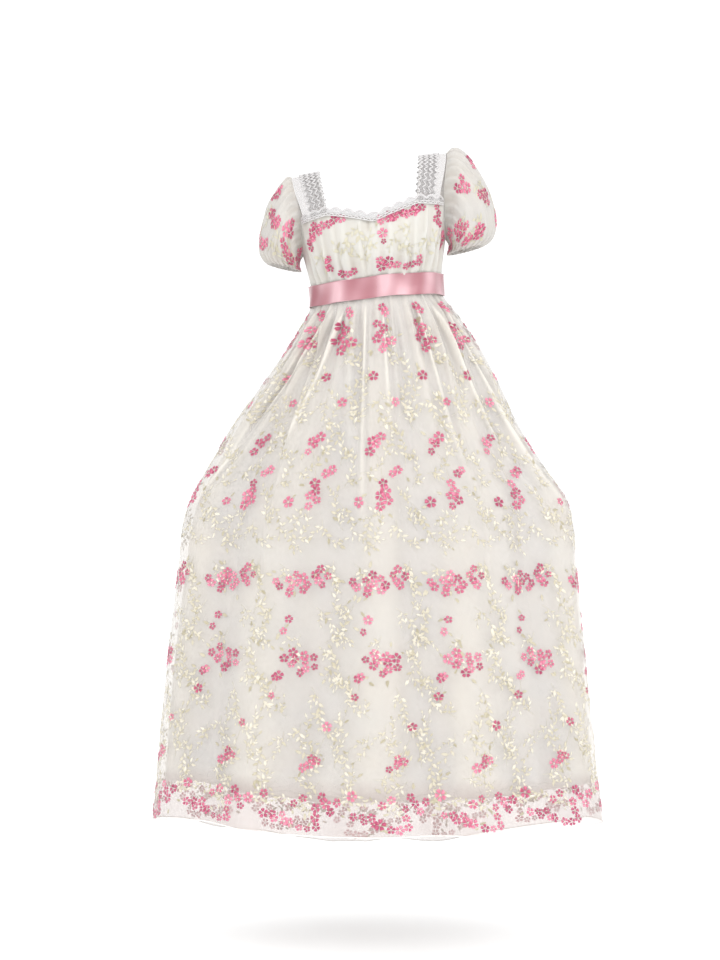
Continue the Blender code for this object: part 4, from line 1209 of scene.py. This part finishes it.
def kept_inside(rows, top_of, low):
    """The rows whose place lies under the cloth's upper edge and above a lower limit."""
    return rows[(rows[:, 1] < top_of(rows[:, 0]) - EDGE_CLEAR) & (rows[:, 1] > low)]


BACK_CLUSTERS = tuple((turn, rise, count, 0.024, 0.014, slant, 0.0096) for turn, rise, count, slant in (
    (0.29, 0.105, 4, 40), (0.33, 0.050, 6, 0), (0.37, 0.120, 7, 10), (0.41, 0.075, 3, -30),
    (0.46, 0.118, 6, 20), (0.455, 0.045, 5, 10), (0.545, 0.115, 6, -15), (0.55, 0.050, 5, 20),
    (0.59, 0.080, 4, 30), (0.63, 0.122, 6, -10), (0.67, 0.052, 6, 0), (0.715, 0.050, 3, -40)))
BACK_SPRAYS = tuple((turn, rise, heading, 0.045, curl, 0.4) for turn, rise, heading, curl in (
    (0.30, 0.075, 60, 40), (0.35, 0.085, 110, -40), (0.39, 0.055, 70, 50), (0.43, 0.100, -80, 40),
    (0.475, 0.080, 100, -45), (0.53, 0.080, 60, 50), (0.57, 0.100, -70, -40), (0.61, 0.055, 110, 40),
    (0.65, 0.085, 80, -50), (0.70, 0.075, 120, 40)))


def plain_bodice(a, b):
    return bodice(a, b, folded=0.0)


# A darker copy of the cream thread for the bodice and sleeves, where the light falls stronger: painted shade.
DARKENED_CREAM_SHADES = (
    (0.00, (0.47, 0.43, 0.31)),
    (0.35, (0.54, 0.50, 0.375)),
    (0.70, (0.60, 0.565, 0.435)),
    (1.00, (0.66, 0.64, 0.55)),
)
SMALL_STITCH = (0.00030, 0.0005, 0.0009)
MOTIF_LOWEST_RISE = 0.026
STEM_RISES = (0.024, 0.138)
DARKENED_CREAM_THREADS = [ROSE_THREAD, leaf_finish("darkened_cream_thread", DARKENED_CREAM_SHADES)]
front_sewing = motifs_at(
    FRONT_CLUSTERS, FRONT_SPRAYS, lambda x, rise: (turn_of(x, rise), rise), plain_bodice, 11)
back_sewing = motifs_at(BACK_CLUSTERS, BACK_SPRAYS, lambda a, b: (a, b), plain_bodice, 12)
for name, sewing, keep, top_of in (
        ("front", front_sewing, lambda a: a < 1, front_top),
        ("back_right", back_sewing, lambda a: a < 0.5, back_top),
        ("back_left", back_sewing, lambda a: a >= 0.5, back_top)):
    blossoms, leaves, stems = sewing
    blossoms, leaves = (
        kept_inside(rows[keep(rows[:, 0])], top_of, MOTIF_LOWEST_RISE) for rows in (blossoms, leaves))
    stems = stems_inside(stems[keep(stems[:, 0, 0])], *STEM_RISES)
    motifs = (blossoms, leaves, stems)
    sewn = sew(f"embroidery_bodice_{name}", motifs, plain_bodice, bodice, DARKENED_CREAM_THREADS, SMALL_STITCH)
    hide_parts(f"bodice_{name}")
    wide = 0.62 if name == "front" else 0.22
    "gathered" if name == "front" else "stretched"
    wide * 0.16 * (0.74 if name == "front" else 0.95)

NECK_BINDING_RADIUS = 0.0013
CLOSURE_RADIUS = 0.0007
CLOSURE_STEPS = 60
back_edge = np.linspace(0.36, 0.64, 160)
neck_line = plain_bodice(back_edge, back_top(back_edge))
neck_binding = add_cords("back_neck_binding", [neck_line], NECK_BINDING_RADIUS, ROLLED_HEM)
closure_rise = np.linspace(0.022, 0.150, CLOSURE_STEPS)
closure = bodice(np.full(CLOSURE_STEPS, 0.5), closure_rise, push=0.0012)
closing = add_cords("back_closure_edge", [closure], CLOSURE_RADIUS, ROLLED_HEM, flat=2.2)

# Shoulder yokes
# Each shoulder is one piece of fine sheer net, from the front neckline seam over the shoulder to the back.
# It is sewn to the bodice at both ends and to the sleeve along the armhole; its neck edge is left free.

YOKE_TOP_X = 0.104
YOKE_WIDTH = 0.055
YOKE_LENGTH = 0.24
NET_EDGE_RADIUS = 0.0006
NET_EDGE_PLACE = 0.004


def edge_depth(x, name):
    """How far before or behind its middle the torso ring lies at the height of the yoke seams."""
    rise = (NECK_CORNER_RISE + YOKE_SEAM_RISE) / 2
    names = ("right", name, "pinch")
    reach, depth, pinch = (smooth(BODICE_RINGS, BODICE_COLUMNS, n, rise) for n in names)
    sine = np.clip(np.asarray(x, float) / reach, 0, 1)
    return depth * np.sqrt(1 - sine ** 2) * (1 - pinch * sine ** 2)


def yoke_on(side):
    """The surface of one yoke: across from the neck edge times the side, along from the front to the back."""
    ends = {name: float(torso_x(ARM_HALF_DEPTH, YOKE_SEAM_RISE, name)) for name in ("front", "back")}
    seam_angle = np.arccos((YOKE_SEAM_RISE - ARM_RISE) / ARM_HALF_HEIGHT)

    def surface(across, along):
        across, along = np.broadcast_arrays(side * np.asarray(across, float), np.asarray(along, float))
        arm = armhole(side, seam_angle * (1 - 2 * along))
        lift = np.sin(np.pi * along)
        front_y, back_y = -edge_depth(NECK_CORNER_X, "front"), edge_depth(NECK_CORNER_X, "back")
        neck_y = np.where(along < 0.5, front_y, back_y) * np.abs(np.cos(np.pi * along))
        neck_x = side * (NECK_CORNER_X + (YOKE_TOP_X - NECK_CORNER_X) * lift)
        start_rise = np.where(along < 0.5, NECK_CORNER_RISE, BACK_NECK_RISE)
        neck = on_torso(neck_x, neck_y, start_rise + (SHOULDER_RISE - start_rise) * lift)
        point = neck + (arm - neck) * across[..., None]
        for name, sign, start in (("front", -1, along), ("back", 1, 1 - along)):
            seam_x = NECK_CORNER_X + (ends[name] - NECK_CORNER_X) * across
            chord = edge_depth(NECK_CORNER_X, name) * (1 - across) + ARM_HALF_DEPTH * 0.992 * across
            point[..., 1] += sign * (edge_depth(seam_x, name) - chord) * np.clip(1 - start / 0.22, 0, 1) ** 2
        return point
    return surface


def net_finish():
    """Fine net: thin threads crossing on the slant, much more air than thread, a little grey."""
    f = Finish("shoulder_net")
    u, v = f.cloth_map()
    threads = ((u * 620 + v * 620).wave() ** 3.0) * 0.5 + ((u * 620 - v * 620).wave() ** 3.0) * 0.5
    colour = f.blend(f.noise(30.0), (0.50, 0.46, 0.455), (0.58, 0.54, 0.53))
    return f.cloth(colour, threads, (0.6, 0.2), (0.3, 0.0003), Alpha=0.16 + 0.42 * threads)


def yoke_ends(side):
    return np.linspace(*((0.0, 0.991) if side > 0 else (-0.991, 0.0)), 41)[None, :]


NET = net_finish()
YOKES = {}
for name, side in (("right", 1), ("left", -1)):
    YOKES[name] = yoke_on(side)
    alongs = np.linspace(0.9985, 0.0015, 121)[:, None]
    net = add_sheet(
        f"shoulder_net_{name}", YOKES[name], yoke_ends(side), alongs, (YOKE_WIDTH, YOKE_LENGTH), NET)
    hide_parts(f"yoke_{name}")
    walk = np.linspace(0.004, 0.996, 120)
    edge = YOKES[name](side * NET_EDGE_PLACE, walk)
    binding = add_cords(f"net_neck_edge_{name}", [edge], NET_EDGE_RADIUS, ROLLED_HEM)

# Strap lace
# A band of white lace with zigzag cords and zigzag edges is laid on each yoke along the neck.
# It is worked on fine net, and its heavier cords run the whole length in parallel zigzags.

STRAP_LACE_WIDTH = 0.60
STRAP_LACE_STAND = 0.0014
STRAP_ZIGZAG_PITCH = 0.0150
STRAP_ZIGZAG_DEPTH = 0.0045
STRAP_CORD_PLACES = (-0.03, 0.18, 0.39, 0.60)
STRAP_CORD_RADIUS = 0.0010
STRAP_CORD_STAND = 0.0006


def zigzag(steps):
    """A wave between -1 and 1 with straight sides, one whole wave a step."""
    return 1 - 4 * np.abs((np.asarray(steps, float) + 0.25) % 1.0 - 0.5)


def lifted(surface, a, b, stand):
    """Points a given distance outside a surface."""
    return surface(a, b) + facing_of(surface, a, b, 0.01, 0.01) * stand


def lace_finish(name, shade, cover):
    """White lace ground: fine looped net, open between its threads."""
    f = Finish(name)
    u, v = f.cloth_map()
    loops = ((u * 560 + v * 320).wave() * (u * 560 - v * 320).wave()) ** 0.6
    thin, thick = (tuple(shade * k * c for c in (1.0, 0.975, 0.975)) for k in (0.93, 1.05))
    return f.cloth(f.blend(loops, thin, thick), loops, (0.55, 0.2), (0.2, 0.0003), Alpha=cover + 0.08 * loops)


def lace_cord_finish():
    """Twisted white cotton cord."""
    f = Finish("lace_cord")
    u, v = f.cloth_map()
    twist = (u * 900 + v * 700).wave()
    colour = f.blend(twist, (0.62, 0.605, 0.605), (0.70, 0.685, 0.685))
    return f.cloth(colour, twist, (0.5, 0.15), (0.5, 0.0003))


STRAP_GROUND = lace_finish("strap_lace_net", 0.38, 0.40)
LACE_CORD = lace_cord_finish()
for name, side in (("right", 1), ("left", -1)):
    surface = YOKES[name]
    walk = np.linspace(0, 1, 81)
    length = np.linalg.norm(np.diff(surface(0 * walk, walk), axis=0), axis=1).sum()
    waves = int(length / STRAP_ZIGZAG_PITCH)
    along = np.linspace(0.045, 0.955, waves * 12 + 1)
    wide = np.linalg.norm(surface(side + 0 * along, along) - surface(0 * along, along), axis=1)
    swing = zigzag(np.linspace(0, waves, waves * 12 + 1)) * STRAP_ZIGZAG_DEPTH / wide
    place = np.linspace(-0.03, STRAP_LACE_WIDTH, 17)
    across = swing[::-1, None] + place[None, :]
    across = (across if side > 0 else across[:, ::-1]) * side
    ground_points = lifted(surface, across, along[::-1, None] + 0 * across, STRAP_LACE_STAND)
    uv = map_of(across * YOKE_WIDTH, along[::-1, None] * length)
    faces = [grid_faces(*across.shape)]
    ground = add_mesh(f"strap_lace_ground_{name}", ground_points.reshape(-1, 3), faces, [STRAP_GROUND], uv)
    lines = [
        lifted(surface, side * (middle + swing), along, STRAP_LACE_STAND + STRAP_CORD_STAND)
        for middle in STRAP_CORD_PLACES]
    cords = add_cords(f"strap_lace_cords_{name}", lines, STRAP_CORD_RADIUS, LACE_CORD, flat=1.3, corners=6)
    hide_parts(f"strap_lace_{name}")

# Neckline lace
# Scalloped lace stands along the front neckline, half on the bodice and half above its edge.
# Each scallop is edged by two cords and holds three small cord loops, on the same kind of net.

NECK_LACE_BELOW = 0.007
NECK_LACE_ABOVE = 0.004
NECK_LACE_STAND = 0.0036
NECK_SCALLOP_HEIGHT = 0.006
NECK_SCALLOPS = 13
NECK_LACE_TURN = 0.1735
METRES_PER_TURN = 0.75
NECK_CORD_RADIUS = 0.00075
NECK_LOOP_RADIUS = 0.0005
LOOP_COLUMNS = ("along", "up", "radius")
SCALLOP_LOOPS = ((0, 0.0040, 0.0026), (-0.0058, 0.0020, 0.0017), (0.0058, 0.0020, 0.0017))


def neck_lace(turn, up):
    """Points of the neckline lace, up in metres from the bodice's edge."""
    edge = front_top(turn)
    low = bodice(turn, edge + np.minimum(up, 0), push=NECK_LACE_STAND, folded=0.35)
    return low + np.array([0, 0, 1]) * np.maximum(up, 0)[..., None]


scallop_walk = np.linspace(0, NECK_SCALLOPS, NECK_SCALLOPS * 24 + 1)
scallop_turn = NECK_LACE_TURN * (2 * scallop_walk / NECK_SCALLOPS - 1)
scallop_top = NECK_LACE_ABOVE + NECK_SCALLOP_HEIGHT * np.abs(np.sin(np.pi * scallop_walk))
share_up = np.linspace(1, 0, 13)[:, None]
rise_up = -NECK_LACE_BELOW + (scallop_top + NECK_LACE_BELOW)[None, :] * share_up
neck_points = neck_lace(scallop_turn[None] + 0 * rise_up, rise_up).reshape(-1, 3)
neck_ground = add_mesh(
    "neck_lace_ground", neck_points, [grid_faces(*rise_up.shape)], [lace_finish("neck_lace_net", 0.42, 0.34)],
    map_of(scallop_turn[None] * METRES_PER_TURN, rise_up))


def on_lace(turn, up, stand):
    return neck_lace(turn, up) + np.array([0, -stand, 0])


outline_cords = [on_lace(scallop_turn, scallop_top - inset, 0.0008) for inset in (0.0, 0.0020)]
outline_cords += [on_lace(scallop_turn, 0 * scallop_turn + level, 0.0008) for level in (-0.0066, -0.0020)]
outline_cords += [on_lace(scallop_turn, -0.0043 + 0.0018 * zigzag(scallop_walk * 2), 0.0009)]
neck_cords = add_cords("neck_lace_cords", outline_cords, NECK_CORD_RADIUS, LACE_CORD, flat=1.2, corners=6)
loops = []
around = np.linspace(0, 2 * np.pi, 13)[:-1]
for k in range(NECK_SCALLOPS):
    middle = NECK_LACE_TURN * (2 * (k + 0.5) / NECK_SCALLOPS - 1)
    for loop in named(LOOP_COLUMNS, SCALLOP_LOOPS):
        turn = middle + (loop["along"] + loop["radius"] * np.cos(around)) / METRES_PER_TURN
        loops.append(on_lace(turn, loop["up"] + loop["radius"] * np.sin(around), 0.0011))
neck_loops = add_cords("neck_lace_loops", loops, NECK_LOOP_RADIUS, LACE_CORD, closed=True, corners=6)
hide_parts("neck_lace")

# Puffed sleeves
# Each sleeve is one wide piece of the embroidered organza, gathered into the armhole and into a narrow cuff.
# The cuff holds a narrow elastic, so its edge is a small even frill. A fine cord follows both its edges.

SLEEVE_COLUMNS = ("share", "outer_x", "outer_z", "inner_x", "inner_z", "depth", "gather")
RIGHT_SLEEVE = (
    (0.00, 0.1510, 0.0235, 0.1492, -0.1440, 0.0560, 0.0002),
    (0.07, 0.1600, 0.0290, 0.1530, -0.1480, 0.0620, 0.0016),
    (0.20, 0.1800, 0.0250, 0.1550, -0.1530, 0.0720, 0.0022),
    (0.36, 0.2080, -0.0050, 0.1560, -0.1570, 0.0780, 0.0014),
    (0.52, 0.2330, -0.0480, 0.1562, -0.1605, 0.0800, 0.0010),
    (0.67, 0.2450, -0.0920, 0.1560, -0.1640, 0.0780, 0.0013),
    (0.79, 0.2460, -0.1220, 0.1556, -0.1675, 0.0715, 0.0020),
    (0.90, 0.2375, -0.1450, 0.1552, -0.1705, 0.0590, 0.0018),
    (0.96, 0.2280, -0.1535, 0.1552, -0.1722, 0.0480, 0.0012),
    (1.00, 0.2205, -0.1570, 0.1556, -0.1732, 0.0390, 0.0007),
)
LEFT_SLEEVE = (
    (0.00, -0.1495, -0.0245, -0.1285, -0.1770, 0.0560, 0.0002),
    (0.07, -0.1560, -0.0255, -0.1320, -0.1808, 0.0620, 0.0015),
    (0.20, -0.1690, -0.0380, -0.1345, -0.1850, 0.0710, 0.0021),
    (0.36, -0.1845, -0.0590, -0.1355, -0.1890, 0.0765, 0.0013),
    (0.52, -0.1985, -0.0840, -0.1357, -0.1925, 0.0785, 0.0010),
    (0.67, -0.2070, -0.1190, -0.1355, -0.1960, 0.0770, 0.0013),
    (0.79, -0.2110, -0.1500, -0.1351, -0.1995, 0.0705, 0.0020),
    (0.90, -0.2085, -0.1760, -0.1347, -0.2030, 0.0590, 0.0018),
    (0.96, -0.2010, -0.1880, -0.1347, -0.2048, 0.0480, 0.0012),
    (1.00, -0.1950, -0.1925, -0.1351, -0.2058, 0.0390, 0.0007),
)
SLEEVE_GATHERS = 24
CUFF_FRILL = 0.0026


def sleeve_gathers(angle):
    """The phase of the gathers round a sleeve, closer in some places than in others."""
    return SLEEVE_GATHERS * angle + 1.1 * np.sin(3 * angle) + 0.8 * np.sin(5 * angle + 1)


def sleeve_on(table, side, folded=1.0):
    """The surface of one sleeve: turn round it from the top, and share of the way to the cuff."""
    start = {n: float(smooth(table, SLEEVE_COLUMNS, n, 0.0)) for n in SLEEVE_COLUMNS[1:]}

    def ring(s, turn_cos, turn_sin):
        outer, inner = (
            s[edge + "_x"] * np.array([1, 0, 0]) + s[edge + "_z"] * np.array([0, 0, 1])
            for edge in ("outer", "inner"))
        up = (outer - inner) / 2
        return (outer + inner) / 2 + up * turn_cos - s["depth"] * np.array([0, 1, 0]) * turn_sin, up

    def surface(turn, share):
        turn, share = np.broadcast_arrays(np.asarray(turn, float), np.asarray(share, float))
        sizes = {n: smooth(table, SLEEVE_COLUMNS, n, share)[..., None] for n in SLEEVE_COLUMNS[1:]}
        angle = 2 * np.pi * side * turn
        turn_cos, turn_sin = np.cos(angle)[..., None], np.sin(angle)[..., None]
        flat, up = ring(sizes, turn_cos, turn_sin)
        radial = up / np.linalg.norm(up, axis=-1, keepdims=True) * turn_cos + np.array([0, -1, 0]) * turn_sin
        phase = sleeve_gathers(angle)
        ends = np.abs(2 * share - 1) ** 1.5
        wrinkle = (1 + np.cos(phase) + 0.35 * np.cos(2 * phase + 4 * share)) * (0.2 + 1.0 * ends)
        slow = 0.0024 * np.sin(5 * angle + 3 * share + side) + 0.0014 * np.sin(9 * angle - 4 * share)
        slow = slow * np.sin(np.pi * np.clip(share, 0, 1))
        slow = slow + CUFF_FRILL * np.cos(phase) * np.clip((share - 0.9) / 0.1, 0, 1)
        puff = folded * (sizes["gather"] * wrinkle[..., None] * (0.75 + 0.25 * turn_cos) + slow[..., None])
        seam = armhole(side, angle) + np.array([side * 0.0006, 0, 0])
        hold = (np.clip(1 - share / 0.15, 0, 1) ** 2)[..., None]
        return flat + radial * puff + (seam - ring(start, turn_cos, turn_sin)[0]) * hold
    return surface


def sleeve_finish():
    """Organza over a thin lining: white with warm clouds, a little of the inside showing through, and painted
    shade between the gathers.
    """
    f = Finish("sleeve_organza")
    u, v = f.cloth_map()
    weave = ((u * 1000).wave() + (v * 1000).wave()) * 0.5
    colour = f.blend(f.noise(24.0), (0.54, 0.55, 0.545), (0.59, 0.555, 0.485))
    colour = f.blend(f.noise(13.0, 1.0) * 0.6, colour, (0.57, 0.515, 0.48))
    # Painted shade between the gathers at both ends of the sleeve.
    colour = f.blend((1.0 - f.tone()) * 0.6, colour, (0.42, 0.37, 0.32))
    alpha = 0.80 + 0.12 * weave
    return f.cloth(colour, weave, (0.5, 0.15), (0.25, 0.0003), Alpha=alpha, Sheen_Weight=0.25)


def painted_sleeve_shade(side, turn, share):
    """Painted shade: dark between the gathers at both ends of the sleeve, light over the puff."""
    ends = np.abs(2 * share - 1) ** 2.5
    valley = 0.5 - 0.5 * np.cos(sleeve_gathers(2 * np.pi * side * turn))
    return np.clip(1.0 - 0.9 * ends * valley ** 1.5, 0, 1)


SLEEVE_CLOTH = sleeve_finish()
SLEEVE_CLUSTER_ROWS = (
    (0.05, 0.30, 3, 0.010, 0.008, 30), (0.13, 0.52, 5, 0.016, 0.012, -30), (0.21, 0.25, 4, 0.012, 0.014, 50),
    (0.24, 0.78, 6, 0.020, 0.008, 10), (0.33, 0.55, 5, 0.014, 0.014, 0), (0.01, 0.72, 4, 0.016, 0.008, 20),
    (0.42, 0.30, 3, 0.012, 0.008, 40), (0.47, 0.75, 4, 0.014, 0.008, 0), (0.57, 0.45, 5, 0.016, 0.010, 20),
    (0.68, 0.72, 5, 0.016, 0.010, -20), (0.72, 0.28, 4, 0.012, 0.010, 30), (0.83, 0.52, 6, 0.018, 0.010, -10),
    (0.92, 0.30, 3, 0.012, 0.008, 60), (0.90, 0.80, 5, 0.018, 0.007, 10))
SLEEVE_CLUSTERS = tuple(
    (turn, share, count, 1.3 * wide, 1.3 * tall, slant, 0.0102)
    for turn, share, count, wide, tall, slant in SLEEVE_CLUSTER_ROWS)
SLEEVE_SPRAYS = tuple((turn, share, heading, 0.045, curl, gold) for turn, share, heading, curl, gold in (
    (0.08, 0.42, 60, 40, 0.3), (0.17, 0.38, 110, -40, 0.5), (0.27, 0.42, 70, 50, 0.2),
    (0.18, 0.68, 20, 40, 0.6), (0.02, 0.50, 100, 50, 0.4), (0.30, 0.68, 150, -40, 0.3),
    (0.38, 0.42, 90, 40, 0.5), (0.51, 0.55, 60, -50, 0.4), (0.62, 0.35, 110, 40, 0.2),
    (0.64, 0.60, 50, 50, 0.5), (0.77, 0.42, 80, -40, 0.3), (0.79, 0.68, 120, 50, 0.4),
    (0.88, 0.42, 60, -50, 0.2), (0.96, 0.62, 100, 40, 0.5)))
SLEEVE_GRID = (336, 110)
SLEEVE_MAP = (0.55, 0.25)
SLEEVE_MOTIF_SHARES = (0.06, 0.95)
SLEEVE_STEM_SHARES = (0.04, 0.96)
SLEEVE_EDGE_STEPS = 480
for name, table, side in (("right", RIGHT_SLEEVE, 1), ("left", LEFT_SLEEVE, -1)):
    surface, plain = sleeve_on(table, side), sleeve_on(table, side, 0.0)
    turns = np.arange(SLEEVE_GRID[0])[None, :] / SLEEVE_GRID[0]
    shares = np.linspace(1, 0, SLEEVE_GRID[1])[:, None]
    puff = add_sheet(f"puff_sleeve_{name}", surface, turns, shares, SLEEVE_MAP, SLEEVE_CLOTH, closed=True,
                     tone=lambda a, b, side=side: painted_sleeve_shade(side, a, b))
    blossoms, leaves, stems = motifs_at(SLEEVE_CLUSTERS, SLEEVE_SPRAYS, lambda a, b: (a, b), plain, 21 + side)
    low, high = SLEEVE_MOTIF_SHARES
    blossoms, leaves = (rows[(rows[:, 1] > low) & (rows[:, 1] < high)] for rows in (blossoms, leaves))
    stems = stems_inside(stems, *SLEEVE_STEM_SHARES)
    motifs = (blossoms, leaves, stems)
    sewn = sew(f"embroidery_sleeve_{name}", motifs, plain, surface, DARKENED_CREAM_THREADS, SMALL_STITCH)
    around = np.arange(SLEEVE_EDGE_STEPS) / SLEEVE_EDGE_STEPS
    cuff, seam = (
        add_cords(f"{edge}_{name}", [surface(around, 0 * around + share)], radius, SLEEVE_CLOTH, closed=True)
        for edge, share, radius in (("cuff_edge", 0.998, 0.0008), ("armhole_seam", 0.004, 0.0006)))
    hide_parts(f"sleeve_{name}")

# Belt
# A ribbon of pink satin, 40 mm wide, goes once round over the waist seam and fastens behind.
# It lies flat but not quite even: its face swells and dips a little, and its woven edges are thicker.

BELT_HALF_HEIGHT = 0.020
BELT_STAND = 0.0036


def belt_face(turn, up):
    """Points of the ribbon's face, up from -1 at its lower edge to 1 at its upper edge."""
    rise = up * BELT_HALF_HEIGHT
    x, y = TORSO.at(turn, rise)
    nx, ny = TORSO.facing(turn, rise, 0.008)
    swell = 0.0013 * np.sin(2 * np.pi * 8 * turn + 0.9 * up + 0.6)
    swell = swell + 0.0005 * np.sin(2 * np.pi * 19 * turn + 1.0 - up)
    out = BELT_STAND + 0.0004 + swell - 0.0005 * up ** 2
    sag = 0.0009 * np.sin(2 * np.pi * 3 * turn + 0.7) + 0.0006 * np.sin(2 * np.pi * 8 * turn)
    return on_torso(x + nx * out, y + ny * out, rise + sag)


def satin_finish():
    """Pink satin whose colour carries tall soft stripes of painted highlight and painted shade; its warp
    threads run along the ribbon.
    """
    f = Finish("pink_satin")
    u, v = f.cloth_map()
    thread = (v * 2400).wave()
    wide_painted_light_stripes, narrow_painted_light_stripes = (u * 9.2 + v * 3.0 + 0.05).wave(), (u * 21.0 - v * 5.0).wave()
    painted_light_stripes = (wide_painted_light_stripes * 0.6 + narrow_painted_light_stripes * 0.35 + f.noise(22.0, 1.0) * 0.3) ** 2.0
    # The stripes are painted light: dark to light pink in the base colour stands in for the satin's
    # reflections and the shade between them, and they raise the metallic a little.
    colour = f.blend(painted_light_stripes, (0.36, 0.130, 0.155), (0.67, 0.42, 0.455))
    return f.cloth(colour, thread, (0.30, 0.05), (0.15, 0.0002), Metallic=0.08 + 0.05 * painted_light_stripes,
                   Coat_Weight=0.35, Coat_Roughness=0.25)


BELT_GRID = (480, 21)
BELT_MAP = (0.76, 0.020)
SELVEDGE_RADIUS = 0.0005
SATIN = satin_finish()
turns = np.linspace(0, 1, BELT_GRID[0], endpoint=False)
ups = np.linspace(1, -1, BELT_GRID[1])[:, None]
ribbon = add_sheet("satin_belt", belt_face, turns[None, :], ups, BELT_MAP, SATIN, closed=True)
belt_edges = [belt_face(turns, 0 * turns + up) for up in (-1.0, 1.0)]
selvedges = add_cords("belt_selvedges", belt_edges, SELVEDGE_RADIUS, SATIN, closed=True)
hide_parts("belt")

# Studio
# A plain pale floor lies in a white surrounding that is brighter behind, above and on both sides in front.
# One softbox stands at the front right. The camera stands level before the gown.

FLOOR_Z = -1.514
FLOOR_HALF = 30.0


def floor_finish():
    """Matt white floor paint with the faintest unevenness."""
    f = Finish("studio_floor")
    speck = f.noise(3.0)
    colour = f.blend(speck, (0.93, 0.93, 0.93), (0.95, 0.95, 0.95))
    return f.done(Base_Color=colour, Roughness=0.85 + 0.05 * speck, Emission_Color=(1.0, 1.0, 1.0),
                  Emission_Strength=0.12)


corners = [(x * FLOOR_HALF, y * FLOOR_HALF, FLOOR_Z) for x, y in ((-1, -1), (1, -1), (1, 1), (-1, 1))]
floor_mesh = bpy.data.meshes.new("studio_floor")
floor_mesh.from_pydata(corners, [], [(0, 1, 2, 3)])
floor_mesh.materials.append(floor_finish())
floor = bpy.data.objects.new("studio_floor", floor_mesh)
bpy.context.scene.collection.objects.link(floor)
floor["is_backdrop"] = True

surround = Finish("studio_white", bpy.data.worlds, ("ShaderNodeBackground", "ShaderNodeOutputWorld"))
direction = surround.node("ShaderNodeTexCoord")


def glow(towards, strength, sharpness):
    """Light that comes from one side of the studio and fades away from it."""
    towards = tuple(np.array(towards) / np.linalg.norm(towards))
    product = {"operation": "DOT_PRODUCT"}
    facing = surround.node("ShaderNodeVectorMath", product, {0: direction, 1: towards}, 1)
    return facing.math("MAXIMUM", facing, 0.0) ** sharpness * strength


backdrop = glow((0, 1, 0), 1.6, 5.0)
backdrop = backdrop.math("MINIMUM", backdrop, 0.78)
light = 0.34 + backdrop + glow((0, 0, 1), 0.80, 1.5)
light = light + glow((0.62, -0.66, 0.45), 1.30, 4.0) + glow((-0.66, -0.62, 0.42), 1.45, 4.0)
surround.fill(surround.shader, {"Color": (1.0, 1.0, 1.0), "Strength": light})
bpy.context.scene.world = surround.owner
bpy.context.scene.view_settings.view_transform = "Standard"

SOFTBOX_SIZE = (0.8, 1.8)
SOFTBOX_WATTS = 24
SOFTBOX_PLACE = (2.3, -2.6, 1.1)
SOFTBOX_TILT = np.radians(64)
SOFTBOX_TURN = np.radians(41)
softbox = bpy.data.lights.new("softbox", "AREA")
softbox.shape = "RECTANGLE"
softbox.size, softbox.size_y = SOFTBOX_SIZE
softbox.energy = SOFTBOX_WATTS
softbox_lamp = bpy.data.objects.new("softbox", softbox)
softbox_lamp.location = SOFTBOX_PLACE
softbox_lamp.rotation_euler = (SOFTBOX_TILT, 0, SOFTBOX_TURN)
bpy.context.scene.collection.objects.link(softbox_lamp)

SENSOR_HEIGHT_MM = 36
LENS_MM = 80.8
CAMERA_PLACE = (-0.0176, -4.2, -0.613)
lens = bpy.data.cameras.new("front")
lens.sensor_fit = "VERTICAL"
lens.sensor_height = SENSOR_HEIGHT_MM
lens.lens = LENS_MM
camera = bpy.data.objects.new("front", lens)
camera.location = CAMERA_PLACE
camera.rotation_euler = (np.pi / 2, 0, 0)
bpy.context.scene.collection.objects.link(camera)
bpy.context.scene.camera = camera

low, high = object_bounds()
({"cad": [list(map(float, side)) for side in CAD_BOX],
           "visual": [list(map(float, side)) for side in (low, high)]})
